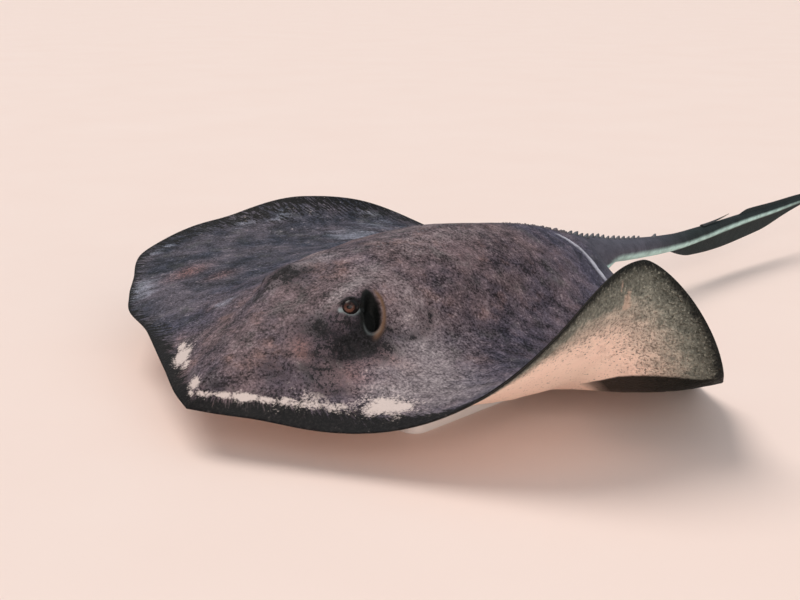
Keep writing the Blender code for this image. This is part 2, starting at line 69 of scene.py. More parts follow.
# Flat outline of one wing: half width, and distance behind the nose tip
OUTLINE = (
    (0.000, 0.000), (0.030, 0.009), (0.100, 0.040), (0.200, 0.086), (0.300, 0.134),
    (0.400, 0.193), (0.461, 0.248), (0.491, 0.298), (0.500, 0.343), (0.496, 0.383),
    (0.462, 0.448), (0.391, 0.557), (0.306, 0.657), (0.220, 0.741), (0.143, 0.795),
    (0.085, 0.813), (0.052, 0.807), (0.036, 0.779),
)
MARGIN_LENGTH = 1.27                    # of one wing, from the nose round to the tail
ROOT_FRONT, ROOT_REAR = 0.030, 0.779    # ends of the spine line that the wings fan out from
WAVE_T = (0.000, 0.100, 0.180, 0.250, 0.300, 0.355, 0.420, 0.470, 1.000)
WAVE = (0.000, 0.025, 0.036, -0.030, 0.006, 0.028, -0.012, 0.000, 0.000)    # right margin, drawn in

# Height of the sheet along the spine, and its bend across the span (1 left, -1 right)
SPINE_Y = (0.00, 0.20, 0.40, 0.60, 0.84)
SPINE_Z = (-0.030, 0.051, 0.084, 0.095, 0.045)
SLOPE_Y = (0.00, 0.25, 0.50, 0.84)
SLOPE = {1: (-8.5, -17.0, -24.8, -21.1), -1: (-7.2, -7.0, -6.7, -9.2)}
CURL_Y = (0.00, 0.12, 0.22, 0.32, 0.42, 0.54, 0.68, 0.84)
CURL = {1: (116, 120, 120, 118, 67, 63, -12, -29), -1: (-47, -22, -4, 2, 10, 38, 67, 67)}
CURL_START, CURL_SPAN, CURL_POWER, SHOULDER = 0.118, 0.382, 1.3, 0.10

# Flesh above and below the sheet
EDGE, RIM = 0.0016, 0.0040              # half thickness at the rim, and how far in it is rounded
WING_ABOVE, WING_BELOW = 0.011, 0.008
BODY_Y = (0.00, 0.10, 0.18, 0.28, 0.40, 0.54, 0.67, 0.78)
BODY_ABOVE = (0.006, 0.026, 0.043, 0.054, 0.056, 0.042, 0.031, 0.036)
BODY_BELOW = (0.002, 0.010, 0.016, 0.022, 0.026, 0.024, 0.016, 0.006)
BODY_WIDTH = (0.040, 0.085, 0.105, 0.120, 0.130, 0.110, 0.075, 0.040)
BROW_AT, BROW_HALF, BROW_HEIGHT = (0.062, 0.196), (0.027, 0.038), 0.015
RIGHT_BROW = (0.0040, (0.0600, 0.1760), (0.0200, 0.0180))   # it stands this much higher
MUSCLE_AT, MUSCLE_HALF, MUSCLE_DEEP = (0.235, 0.300), (0.105, 0.125), 0.0275

# Low forms of the back, as height, place and half sizes: the dip between the brows, the swelling
# behind the breathing hole, the shoulder, the furrow beside the neck, the hollow in front of the
# eye, and a dome on the swelling
BACK_FORMS = (
    (-0.0045, (0.0, 0.165), (0.024, 0.060)), (0.0040, (0.074, 0.268), (0.030, 0.026)),
    (0.0025, (0.100, 0.350), (0.030, 0.070)), (-0.0020, (0.030, 0.262), (0.014, 0.050)),
    (-0.0110, (0.0960, 0.1640), (0.0190, 0.0250)), (0.0035, (0.0840, 0.2560), (0.0260, 0.0230)),
)
DOME_AT, DOME_LONG, DOME_OUT = (0.0860, 0.2500), 1.10, 0.0370    # a moat runs round the dome here
MOAT_DEEP, MOAT_WIDE = 0.0024, 0.0045
RIDGE_TALL, RIDGE_WIDE, FIN_RAYS, RAY_TALL = 0.0012, 0.010, 76, 0.00035
LUMPS = ((0.0011, 0.050), (0.0006, 0.021))      # height and size of the flesh's slow unevenness

# Eyeballs (1 left, -1 right), the way the lids open, and the lids. The right eye is drawn back
# under the brow and half closed, as rays can do.
EYE_RADIUS = 0.0118
EYE_AT = {1: (0.0700, 0.1866, 0.0886), -1: (0.0725, 0.1850, 0.0800)}
LIDS_FACE = {1: (0.80, -0.46, 0.38), -1: (0.93, -0.22, 0.28)}
EYE_OPENING = {1: math.radians(72), -1: math.radians(46)}
UPPER_LID, LID_ROLL, LID = math.radians(20), math.radians(5), 0.0015
LID_AT, LID_WIDE = (0.0635, 0.1850), math.radians(15)   # middle of the lids on the sheet
FURROW_OUT, FURROW_WIDE, FURROW_DEEP = 0.0190, 0.0022, 0.0018   # round the front of the lids

# Breathing hole just behind the eye: span and distance behind the nose, half sizes, depth
SPIRACLE_AT, SPIRACLE_HALF = (0.0815, 0.2065), (0.0195, 0.0122)
SPIRACLE_TURN = math.radians(37)        # its outer end lies further forward
SPIRACLE_DEPTH, SPIRACLE_LIP = 0.019, 0.0016

# Belly: the mouth, the nostrils and their curtain, five pairs of gill slits, the vent, and the
# girdle that crosses in front of it
MOUTH_Y, MOUTH_HALF, MOUTH_BOW, MOUTH_DEEP = 0.172, 0.030, 0.006, 0.0045
NOSTRIL_AT, NOSTRIL_HALF, NOSTRIL_LEAN = (0.0270, 0.1500), (0.0085, 0.0030), 0.55
GILLS = [(0.086 - 0.0085 * i, 0.238 + 0.030 * i) for i in range(5)]
GILL_HALF, GILL_DEEP, GILL_LEAN = (0.0085, 0.0022), 0.0028, 0.30
VENT_AT, VENT_HALF = (0.0, 0.700), (0.0032, 0.0110)
GIRDLE_Y, GIRDLE_WIDE, GIRDLE_TALL = 0.672, 0.010, 0.0020

# Crease where the back ends in front of the pelvic girdle, with a lip, a step and fine wrinkles
CREASE_Y, CREASE_FORWARD, CREASE_WIDE = 0.706, 0.052, 0.033
LIP_TALL, LIP_WIDE, STEP_DEEP = 0.0024, 0.0050, 0.0030
WRINKLE_TALL, WRINKLE_PITCH, WRINKLES_AT, WRINKLES_WIDE = 0.0009, 0.0085, 0.020, 0.012

# Tail: its axis and half sizes at stations behind the nose
TAIL_Y = (0.779, 0.84, 0.90, 1.00, 1.05, 1.14, 1.22, 1.30, 1.40, 1.52, 1.80, 2.20)
TAIL_Z = (0.080, 0.080, 0.077, 0.0745, 0.075, 0.082, 0.090, 0.099, 0.109, 0.124, 0.140, 0.132)
TAIL_X = (0.0, 0.0, 0.0, 0.0, 0.0, 0.0, 0.0, 0.001, 0.003, 0.008, 0.022, -0.020)
TAIL_TALL = (0.0260, 0.0200, 0.0180, 0.0155, 0.0145, 0.0130, 0.0118, 0.0105, 0.0090,
             0.0074, 0.0042, 0.0012)
TAIL_WIDE = (0.0360, 0.0290, 0.0250, 0.0195, 0.0175, 0.0150, 0.0130, 0.0112, 0.0095,
             0.0076, 0.0042, 0.0012)
TAIL_END, TAIL_BLEND, TAIL_SIDES = 2.1995, 0.075, 72
FINFOLD_Y = (1.040, 1.120, 1.250, 1.360, 1.450, 1.540)
FINFOLD_DEEP = (0.0, 0.0230, 0.0310, 0.0270, 0.0130, 0.0)
KEEL_Y = (1.270, 1.310, 1.400, 1.520, 1.630)
KEEL_TALL = (0.0, 0.0080, 0.0070, 0.0045, 0.0)
FOLD_ARC, FOLD_ROOT, FOLD_EDGE = math.radians(15), 0.0015, 0.0005
FOLD_CREST, FOLD_SEAT = math.radians(1.5), 0.985    # rounding of its edge; its root, in half heights

# Pelvic fins: flat lobes under the disc's rear corners
PELVIC_FRONT, PELVIC_REAR, PELVIC_IN, PELVIC_OUT = 0.715, 0.868, 0.024, 0.104
PELVIC_THICK = 0.0056

# Fineness of the drawing
LINES, UPPER, LOWER = 210, 52, 34       # fan lines to a side, cells out from the spine
RIM_STEPS = (1.0, 0.60, 0.30, 0.10, 0.0)
TAIL_RINGS = ((0.782, 1.040, 44), (1.046, 1.640, 84), (1.652, 2.1975, 44))      # from, to, how many
TAIL_TIP = ((0.80, 0.0009), (0.42, 0.0003))     # last rings: share of the section, and how far ahead
GATHERED = 0.30                                 # how much the points of a ring gather at the folds
FINE_AT, FINE_LEVEL = (0.078, 0.196), 0.42      # cells are halved round the face, again at the eye
FACE_HALF, EYE_HALF = (0.060, 0.062), (0.034, 0.036)
LIDS_AT, LIDS_REACH = (0.070, 0.186), 0.0150    # and once more over the lids
# Below, cells are quartered over the mouth, the gills and the vent
MOUTH_ZONE, GILL_ZONE, VENT_ZONE = (0.040, 0.138, 0.186), (0.013, 0.010), (0.014, 0.016)
LINE_U, LINE_T = (0.0, 0.30, 0.70, 1.0), (0.0, 0.34, 0.62, 1.0)     # fan lines crowd at the wing's tip


def smooth(xs, ys):
    """A smooth curve through the points that never overshoots them."""
    xs, ys = np.asarray(xs, float), np.asarray(ys, float)
    h, d = np.diff(xs), np.diff(ys) / np.diff(xs)
    m = np.zeros(len(xs))
    m[0], m[-1] = d[0], d[-1]
    for i in range(1, len(xs) - 1):
        if d[i - 1] * d[i] > 0:
            w1, w2 = 2 * h[i] + h[i - 1], h[i] + 2 * h[i - 1]
            m[i] = (w1 + w2) / (w1 / d[i - 1] + w2 / d[i])

    def value(x):
        x = np.clip(np.asarray(x, float), xs[0], xs[-1])
        i = np.clip(np.searchsorted(xs, x, side="right") - 1, 0, len(h) - 1)
        u = (x - xs[i]) / h[i]
        rise = ys[i] * (1 + 2 * u) * (1 - u) ** 2 + ys[i + 1] * u * u * (3 - 2 * u)
        return rise + h[i] * (m[i] * u * (1 - u) ** 2 - m[i + 1] * u * u * (1 - u))

    return value


def outline(t):
    """Flat margin of one wing, t from 0 at the nose to 1 at the tail."""
    pts = np.asarray(OUTLINE, float)
    run = np.r_[0, np.cumsum(np.hypot(*np.diff(pts, axis=0).T))]
    run /= run[-1]
    tangent = np.gradient(pts, run, axis=0)
    i = np.clip(np.searchsorted(run, t, side="right") - 1, 0, len(run) - 2)
    h = run[i + 1] - run[i]
    u = (t - run[i]) / h
    a, b = pts[i].T, pts[i + 1].T
    ta, tb = tangent[i].T * h, tangent[i + 1].T * h
    x, y = (a * (1 + 2 * u) * (1 - u) ** 2 + b * u * u * (3 - 2 * u)
            + ta * u * (1 - u) ** 2 - tb * u * u * (1 - u))
    return np.maximum(x, 0.0), y


def ease(start, end, x):
    """0 up to start, 1 from end on, eased between them."""
    u = np.clip((x - start) / (end - start), 0, 1)
    return u * u * (3 - 2 * u)


def bell(x, half):
    """1 at 0, dying away smoothly over the half size."""
    return np.exp(-(x / half) ** 2)


def swelling(span, y, at, half):
    """1 at a place on the sheet, dying away smoothly over the half sizes."""
    return np.exp(-((span - at[0]) / half[0]) ** 2 - ((y - at[1]) / half[1]) ** 2)


spine_height = smooth(SPINE_Y, SPINE_Z)
slope_at = {side: smooth(SLOPE_Y, np.radians(SLOPE[side])) for side in SLOPE}
curl_at = {side: smooth(CURL_Y, np.radians(CURL[side])) for side in CURL}
body_above, body_below = smooth(BODY_Y, BODY_ABOVE), smooth(BODY_Y, BODY_BELOW)
body_width = smooth(BODY_Y, BODY_WIDTH)
tail_x, tail_z = smooth(TAIL_Y, TAIL_X), smooth(TAIL_Y, TAIL_Z)
tail_tall, tail_wide = smooth(TAIL_Y, TAIL_TALL), smooth(TAIL_Y, TAIL_WIDE)
finfold_deep, keel_tall = smooth(FINFOLD_Y, FINFOLD_DEEP), smooth(KEEL_Y, KEEL_TALL)


def sheet(side, span, y, steps=40):
    """Point of the bent sheet and the sheet's angle there, in the body's frame."""
    parts = np.linspace(0, 1, steps + 1)[:, None] * span
    curl = np.clip(parts - CURL_START, 0, None) ** CURL_POWER / CURL_SPAN ** CURL_POWER
    angle = slope_at[side](y) * np.clip(parts / SHOULDER, 0, 1) + curl_at[side](y) * curl
    length = span / steps
    x = (np.cos(angle[1:]) + np.cos(angle[:-1])).sum(0) / 2 * length
    z = (np.sin(angle[1:]) + np.sin(angle[:-1])).sum(0) / 2 * length
    return side * x, spine_height(y) + z, angle[-1]


def around_spiracle(span, y):
    """Distance from the middle of the breathing hole, 1 on its rim, and how far behind the middle."""
    out, back = span - SPIRACLE_AT[0], y - SPIRACLE_AT[1]
    along = (out * math.cos(SPIRACLE_TURN) - back * math.sin(SPIRACLE_TURN)) / SPIRACLE_HALF[0]
    across = (out * math.sin(SPIRACLE_TURN) + back * math.cos(SPIRACLE_TURN)) / SPIRACLE_HALF[1]
    return np.hypot(along, across), across, along


def around_dome(span, y):
    """Distance from the middle of the dome behind the spiracle."""
    return np.hypot((span - DOME_AT[0]) / DOME_LONG, y - DOME_AT[1])


def crease_behind(span, y):
    """How far a point lies behind the crease at the end of the back."""
    return y - CREASE_Y + CREASE_FORWARD * bell(span, CREASE_WIDE)


def upper_relief(span, y, q, t):
    """What the back's forms add to the thickness above."""
    lift = RIDGE_TALL * bell(span, RIDGE_WIDE) * ease(0.28, 0.36, y) * (1 - ease(0.66, 0.74, y))
    for height, at, half in BACK_FORMS:
        lift = lift + height * swelling(span, y, at, half)
    rays = np.cos(2 * math.pi * FIN_RAYS * t)
    lift = lift + RAY_TALL * rays * ease(0.35, 0.60, q) * (1 - ease(0.90, 0.98, q))
    hole, rearward, _ = around_spiracle(span, y)
    lift = lift - SPIRACLE_DEPTH * (1 - ease(0.60, 1.02, hole))
    lift = lift + SPIRACLE_LIP * bell(hole - 1.22, 0.18) * ease(-1.0, 0.8, rearward)
    round_eye = np.hypot(span - LID_AT[0], y - LID_AT[1])
    furrow = FURROW_DEEP * bell(round_eye - FURROW_OUT, FURROW_WIDE)
    lift = lift - furrow * (1 - ease(0.0, 0.014, y - LID_AT[1]))
    moat = bell(around_dome(span, y) - DOME_OUT, MOAT_WIDE) * ease(0.0, 0.030, span - DOME_AT[0])
    behind = crease_behind(span, y)
    lip = LIP_TALL * bell(behind, LIP_WIDE)
    lip = lip - STEP_DEEP * ease(0.000, 0.014, behind) * (1 - ease(0.030, 0.060, behind))
    wrinkles = WRINKLE_TALL * np.cos(2 * math.pi * behind / WRINKLE_PITCH)
    wrinkles = wrinkles * bell(behind - WRINKLES_AT, WRINKLES_WIDE)
    there = ease(0.010, 0.026, span) * (1 - ease(0.085, 0.120, span))
    return lift - MOAT_DEEP * moat + there * (lip + wrinkles)


def slit(along, across, half):
    """1 in the middle of a slit, 0 outside it; half is its half length and half width."""
    return bell(across, half[1]) * (1 - ease(0.70, 1.10, np.abs(along) / half[0]))


def lower_relief(span, y):
    """What the mouth, gills and vent take off the thickness below, and their lips add."""
    bow = y - MOUTH_Y + MOUTH_BOW * (span / MOUTH_HALF) ** 2
    flare, lip_half = span - NOSTRIL_AT[0], MOUTH_HALF * 1.1
    nostril = y - NOSTRIL_AT[1] - NOSTRIL_LEAN * flare
    slits = [(-MOUTH_DEEP, span, bow, (MOUTH_HALF, 0.0030)),
             (0.0022, span, bow + 0.0075, (lip_half, 0.0042)),
             (0.0016, span, bow - 0.0085, (lip_half, 0.0050)),
             (-0.0032, flare, nostril, NOSTRIL_HALF),
             (0.0012, flare, nostril + 0.0060, (0.0110, 0.0030)),
             (-0.0035, y - VENT_AT[1], span, VENT_HALF[::-1]),
             (0.0015, y - VENT_AT[1], span - 0.0058, (0.0130, 0.0035))]
    for gill_span, gill_y in GILLS:
        across = y - gill_y + GILL_LEAN * (span - gill_span)
        slits += [(-GILL_DEEP, span - gill_span, across, GILL_HALF),
                  (0.0011, span - gill_span, across + 0.0048, (GILL_HALF[0] * 1.1, 0.0026))]
    girdle = GIRDLE_TALL * bell(y - GIRDLE_Y, GIRDLE_WIDE) * (1 - ease(0.03, 0.07, span))
    return girdle + sum(height * slit(along, across, half) for height, along, across, half in slits)


def disc_point(side, span, y, q, t, inward, above):
    """Point of the upper or lower hide, in the body's frame."""
    x, z, angle = sheet(side, span, y)
    hump = bell(span, body_width(y))
    taper = 1 - q ** 3
    rounding = np.sqrt(1 - (1 - np.clip(inward / RIM, 0, 1)) ** 2)
    fade = ease(0.0, 0.030, inward)
    if above:
        body = WING_ABOVE * (1 - q) + body_above(y) * hump
        offset = EDGE + taper * body + BROW_HEIGHT * swelling(span, y, BROW_AT, BROW_HALF)
        if side < 0:
            offset = offset + RIGHT_BROW[0] * swelling(span, y, *RIGHT_BROW[1:])
        offset = (offset + fade * upper_relief(span, y, q, t)) * rounding
    else:
        body = WING_BELOW * (1 - q) + body_below(y) * hump
        body = body + MUSCLE_DEEP * swelling(span, y, MUSCLE_AT, MUSCLE_HALF)
        offset = -(EDGE + taper * body + fade * lower_relief(span, y)) * rounding
    return np.stack([x - side * np.sin(angle) * offset, y, z + np.cos(angle) * offset], -1)


def around_eye(points, side):
    """Hide near an eyeball, drawn over it as lids and sunk inside it within the opening; then how
    far each point belongs to the pale lower lid, and to the painted shade in the fold round the upper one."""
    centre = np.array(EYE_AT[side]) * (side, 1, 1)
    look = np.array(Vector(LIDS_FACE[side]).normalized()) * (side, 1, 1)
    away = points - centre
    reach = np.linalg.norm(away, axis=1)
    off_axis = np.arccos(np.clip(away @ look / reach, -1, 1))
    upright = np.array([0, 0, 1]) - look * look[2]
    high = (away @ upright) / np.linalg.norm(upright) / (reach * np.sin(off_axis) + 1e-6)
    opening = EYE_OPENING[side] - UPPER_LID * ease(0.0, 0.9, high)
    near = 1 - ease(1.25 * EYE_RADIUS, 1.75 * EYE_RADIUS, reach)
    lid = (reach ** 8 + (EYE_RADIUS + LID) ** 8) ** (1 / 8)
    sunk = np.minimum(reach, 0.82 * EYE_RADIUS)
    inside = (1 - ease(opening - LID_ROLL, opening, off_axis)) * near
    pale = near * (1 - ease(opening + 0.4 * LID_WIDE, opening + LID_WIDE, off_axis))
    pale *= 1 - ease(-0.5, 0.4, high)
    # painted shade in the fold round the upper lid
    fold_shade_over_eye = near * (1 - ease(opening, opening + 2.4 * LID_WIDE, off_axis)) * ease(-0.1, 0.4, high)
    return centre + away * ((lid + (sunk - lid) * inside) / reach)[:, None], pale, fold_shade_over_eye


def fan(cells, layer):
    """One layer of the disc's grid on the flat: signed span, distance behind, share out, t."""
    t = smooth(LINE_U, LINE_T)(np.linspace(0, 1, LINES + 1))
    margin_x, margin_y = outline(t)
    root = ROOT_FRONT + (ROOT_REAR - ROOT_FRONT) * t ** 0.95
    length = np.hypot(margin_x, margin_y - root)
    inner = np.linspace(0, 1, cells + 1)[None, :-1] * (1 - RIM / length)[:, None]
    rim = 1 - RIM * np.array(RIM_STEPS)[None] / length[:, None]
    q = np.concatenate([inner, rim], 1)
    half = q.shape[1]
    q = np.concatenate([q[:, :0:-1], q], 1)
    side = np.where(np.arange(q.shape[1]) < half - 1, -1, 1)
    drawn_in = np.where(side[None] < 0, smooth(WAVE_T, WAVE)(t)[:, None], 0.0)
    span = q * margin_x[:, None] * (1 - drawn_in)
    y = root[:, None] + q * (margin_y - root)[:, None]
    height = q if layer > 0 else 2 - q
    rows = np.broadcast_to(t[:, None], q.shape)
    inward = (1 - q) * length[:, None]
    return np.stack([span * side, y, height, rows, inward], -1)


def flat_disc():
    """Both layers as one closed bag on the flat, with finer cells round the face and the slits."""
    bm = bmesh.new()
    tee, rim = bm.verts.layers.float.new("t"), bm.verts.layers.float.new("inward")
    for cells, layer in ((UPPER, 1), (LOWER, -1)):
        rows = []
        for line in fan(cells, layer):
            rows.append([bm.verts.new(place[:3]) for place in line])
            for vert, place in zip(rows[-1], line):
                vert[tee], vert[rim] = place[3:]
        for a, b in zip(rows[:-1], rows[1:]):
            for k in range(len(a) - 1):
                ring = (a[k], a[k + 1], b[k + 1], b[k])
                bm.faces.new(ring if layer > 0 else ring[::-1])
    bmesh.ops.remove_doubles(bm, verts=bm.verts, dist=1e-6)

    def near_face(s, y):
        return swelling(s, y, FINE_AT, FACE_HALF) > FINE_LEVEL

    def near_eye(s, y):
        return swelling(s, y, FINE_AT, EYE_HALF) > FINE_LEVEL

    def on_lids(s, y):
        return math.hypot(s - LIDS_AT[0], y - LIDS_AT[1]) < LIDS_REACH

    def on_slits(s, y):
        mouth = s < MOUTH_ZONE[0] and MOUTH_ZONE[1] < y < MOUTH_ZONE[2]
        gill = any(abs(s - a) < GILL_ZONE[0] and abs(y - b) < GILL_ZONE[1] for a, b in GILLS)
        vent = s < VENT_ZONE[0] and abs(y - VENT_AT[1]) < VENT_ZONE[1]
        return mouth or gill or vent

    for zone in (near_face, near_eye, on_lids, on_slits, on_slits):
        edges = {}
        for face in bm.faces:
            centre = face.calc_center_median()
            if (centre.z < 1) == (zone is not on_slits) and zone(abs(centre.x), centre.y):
                edges.update(dict.fromkeys(face.edges))
        bmesh.ops.subdivide_edges(bm, edges=list(edges), cuts=1, use_grid_fill=True)
    bm.verts.ensure_lookup_table()
    bm.verts.index_update()
    flat = np.array([v.co[:] for v in bm.verts])
    extra = np.array([(v[tee], v[rim]) for v in bm.verts])
    faces = [[v.index for v in face.verts] for face in bm.faces]
    bm.free()
    return flat, extra, faces


def end_of_disc():
    """The disc's rear end as a ring: its angles round the tail's axis, in order, and its points."""
    pieces = []
    for cells, layer in ((UPPER, 1), (LOWER, -1)):
        line = fan(cells, layer)[-1]
        for side in (1, -1):
            own = line[line[:, 0] * side >= 0]
            q = own[:, 2] if layer > 0 else 2 - own[:, 2]
            pieces.append(disc_point(side, np.abs(own[:, 0]), own[:, 1], q, own[:, 3], own[:, 4],
                                     layer > 0))
    ring = np.unique(np.round(np.concatenate(pieces), 8), axis=0)
    angle = np.arctan2((ring[:, 2] - tail_z(ROOT_REAR)) / tail_tall(ROOT_REAR),
                       (ring[:, 0] - tail_x(ROOT_REAR)) / tail_wide(ROOT_REAR))
    order = np.argsort(angle)
    return angle[order], ring[order]


end_angle, end_ring = end_of_disc()
wrapped_angle = np.r_[end_angle[-1] - 2 * math.pi, end_angle, end_angle[0] + 2 * math.pi]
wrapped_ring = np.concatenate([end_ring[-1:], end_ring, end_ring[:1]])


def tail_section(y, angle):
    """Points round the tail at one station: the disc's end turning into an oval with its folds."""
    level = np.full(len(angle), y)
    oval = np.stack([tail_x(y) + tail_wide(y) * np.cos(angle), level,
                     tail_z(y) + tail_tall(y) * np.sin(angle)], -1)
    for up, size_at in ((1, keel_tall), (-1, finfold_deep)):
        size = size_at(y)
        off = (angle - up * math.pi / 2 + math.pi) % (2 * math.pi) - math.pi
        out = np.clip(1 - np.abs(off) / FOLD_ARC, 0, None)
        thick = (FOLD_ROOT + (FOLD_EDGE - FOLD_ROOT) * out) * np.minimum(
            1, np.sqrt(np.abs(off) / FOLD_CREST))
        blade = np.stack([tail_x(y) - up * np.sign(off) * thick, level,
                          tail_z(y) + up * (tail_tall(y) * FOLD_SEAT + size * out)], -1)
        on = (ease(0.0, 0.0030, size) * ease(0.0, 0.10, out))[:, None]
        oval = oval * (1 - on) + blade * on
    start = np.stack([np.interp(angle, wrapped_angle, wrapped_ring[:, i]) for i in range(3)], -1)
    start[:, 1] = y
    share = ease(ROOT_REAR, ROOT_REAR + TAIL_BLEND, y)
    return start * (1 - share) + oval * share


def zipper(angle_a, first_a, angle_b, first_b):
    """Triangles between two closed rings with different numbers of points, both in angle's order."""
    a = np.r_[angle_a, angle_a[0] + 2 * math.pi]
    b = np.r_[angle_b, angle_b[0] + 2 * math.pi]
    i = j = 0
    faces = []
    while i < len(angle_a) or j < len(angle_b):
        here, there = first_a + i % len(angle_a), first_b + j % len(angle_b)
        if j == len(angle_b) or (i < len(angle_a) and a[i + 1] <= b[j + 1]):
            i += 1
            faces.append([here, there, first_a + i % len(angle_a)])
        else:
            j += 1
            faces.append([here, there, first_b + j % len(angle_b)])
    return faces


def bands(rings, around, first=0):
    """Four-sided faces between closed rings that follow one another, with as many points in each."""
    return [(a + k, a + k + around, a + (k + 1) % around + around, a + (k + 1) % around)
            for a in range(first, first + (rings - 1) * around, around) for k in range(around)]


def tail_mesh():
    """The tail from the disc's rear end to its tip: points and faces."""
    turn = (np.arange(TAIL_SIDES) + 0.5) / TAIL_SIDES * 2 * math.pi - math.pi
    angle = turn + GATHERED * np.sin(2 * turn)
    stations = np.concatenate([np.linspace(*stretch) for stretch in TAIL_RINGS])
    rings = [end_ring] + [tail_section(y, angle) for y in stations]
    end = np.array([[tail_x(TAIL_END), TAIL_END, tail_z(TAIL_END)]])
    for shrink, back in TAIL_TIP:
        rings.append(end + (tail_section(TAIL_END, angle) - end) * (shrink, 1, shrink) - (0, back, 0))
    last = len(end_ring) + (len(rings) - 2) * TAIL_SIDES
    faces = zipper(end_angle, 0, angle, len(end_ring))
    faces += bands(len(rings) - 1, TAIL_SIDES, len(end_ring))
    faces += [(last + k, last + TAIL_SIDES, last + (k + 1) % TAIL_SIDES) for k in range(TAIL_SIDES)]
    return np.concatenate(rings + [end]), faces


def pelvic_mesh(side):
    """One pelvic fin: a closed rounded lobe whose root is buried in the belly."""
    along, out = np.linspace(0, 1, 45), 1 - (1 - np.linspace(0, 1, 25)) ** 1.6
    y = PELVIC_FRONT + (PELVIC_REAR - PELVIC_FRONT) * along[:, None] * (1 - 0.10 * out[None] ** 2)
    reach = (PELVIC_OUT - PELVIC_IN) * np.sin(math.pi * (0.08 + 0.86 * along)) ** 0.75
    span = PELVIC_IN + reach[:, None] * out[None]
    shape = y.shape
    y, span = y.ravel(), span.ravel()
    x, z, _ = sheet(side, span, np.minimum(y, SPINE_Y[-1]))
    under = EDGE + WING_BELOW * 0.9 + body_below(y) * bell(span, body_width(y)) - 0.0004
    ends = np.sqrt(np.clip(1 - np.abs(2 * along - 1) ** 12, 0, 1))[:, None]
    rim = (np.sqrt(np.clip(1 - out[None] ** 10, 0, 1)) * ends).ravel()
    thick = PELVIC_THICK * (1 - 0.55 * np.broadcast_to(out[None], shape).ravel() ** 2) * rim
    middle = z - under - PELVIC_THICK / 2
    top = np.stack([x, y, middle + thick / 2], -1)
    low = np.stack([x, y, middle - thick / 2], -1)
    count, stride = len(top), shape[1]
    faces = []
    for a in range(0, count - stride, stride):
        b = a + stride
        for j in range(stride - 1):
            ring = [a + j, a + j + 1, b + j + 1, b + j]
            faces += [ring, [k + count for k in ring[::-1]]]
        faces.append([a, b, b + count, a + count])
    return np.concatenate([top, low]), faces


ATTITUDE = (Matrix.Translation((0, -NOSE_TO_ORIGIN, LIFT))
            @ Euler((PITCH, 0, 0)).to_matrix().to_4x4() @ Euler((0, BANK, 0)).to_matrix().to_4x4())


def placed(points):
    """Body's frame to the model's frame."""
    turn = np.array(ATTITUDE)
    return np.asarray(points) @ turn[:3, :3].T + turn[:3, 3]


def lumps(points, size):
    """Slow unevenness of living flesh, between -1 and 1."""
    return np.array([noise.noise(Vector(p) / size) for p in points])


flat, extra, disc_faces = flat_disc()
above = flat[:, 2] <= 1
share_out = np.where(above, flat[:, 2], 2 - flat[:, 2])
disc, lower_lid, lid_fold_shade = np.zeros((len(flat), 3)), np.zeros(len(flat)), np.zeros(len(flat))
for side in (1, -1):
    own_side = flat[:, 0] >= 0 if side == 1 else flat[:, 0] < 0
    for layer in (True, False):
        rows = np.where(own_side & (above == layer))[0]
        disc[rows] = disc_point(side, np.abs(flat[rows, 0]), flat[rows, 1], share_out[rows],
                                extra[rows, 0], extra[rows, 1], layer)
    near_eye = np.abs(np.abs(flat[:, :2]) - EYE_AT[side][:2]).max(1) < 0.05
    rows = np.where(own_side & above & near_eye)[0]
    disc[rows], lower_lid[rows], lid_fold_shade[rows] = around_eye(disc[rows], side)
uneven = sum(height * lumps(disc, size) for height, size in LUMPS)
uneven *= ease(0.004, 0.040, extra[:, 1]) * ease(0.02, 0.06, np.abs(flat[:, 1] - LID_AT[1]))
disc[:, 2] += uneven * (1 - ease(0.720, 0.775, flat[:, 1]))     # none where the tail joins

tail, tail_faces = tail_mesh()
fins = [pelvic_mesh(side) for side in (1, -1)]
span, behind = np.abs(flat[:, 0]), flat[:, 1]
left = flat[:, 0] >= 0
fin_points = np.concatenate([fin[0] for fin in fins])
fin_below = np.concatenate([np.repeat([0.0, 1.0], len(fin[0]) // 2) for fin in fins])


def spot(at, half, side=0, turned=0.0):
    """A soft patch of the upper side, turned on the sheet; side 0 is on both wings."""
    on = above & (left if side > 0 else ~left if side < 0 else True)
    out, back = span - at[0], behind - at[1]
    cosine, sine = math.cos(math.radians(turned)), math.sin(math.radians(turned))
    return on * swelling(out * cosine + back * sine, back * cosine - out * sine, (0, 0), half)


# Black band round the margin: its width above on each wing and below, and the dusk inside it below
BAND_T = (0.000, 0.040, 0.086, 0.130, 0.172, 0.200, 0.225, 0.250,
          0.310, 0.420, 0.470, 0.550, 0.700, 0.850, 1.000)
BAND_ABOVE = {1: (0.010, 0.016, 0.028, 0.039, 0.046, 0.046, 0.040, 0.026,
                  0.016, 0.024, 0.030, 0.038, 0.044, 0.036, 0.014),
              -1: (0.010, 0.016, 0.022, 0.026, 0.024, 0.020, 0.014, 0.010,
                   0.009, 0.018, 0.034, 0.040, 0.046, 0.042, 0.014)}
BELOW_T = (0.00, 0.16, 0.22, 0.28, 0.36, 0.44, 0.50, 0.56, 0.70, 0.90, 1.00)
BAND_BELOW = (0.022, 0.020, 0.012, 0.008, 0.007, 0.009, 0.012, 0.020, 0.040, 0.030, 0.012)
DUSK_T = (0.00, 0.15, 0.27, 0.33, 0.40, 0.48, 0.60, 0.80, 1.00)
DUSK = (0.022, 0.020, 0.020, 0.034, 0.070, 0.104, 0.110, 0.060, 0.030)
LENS_T, LENS_LEAN, LENS_FADE = 0.530, 0.37, 0.13    # shaded hollow where the left wing folds under
OFF = 9.0                                           # band and dusk marks this far in are out of reach

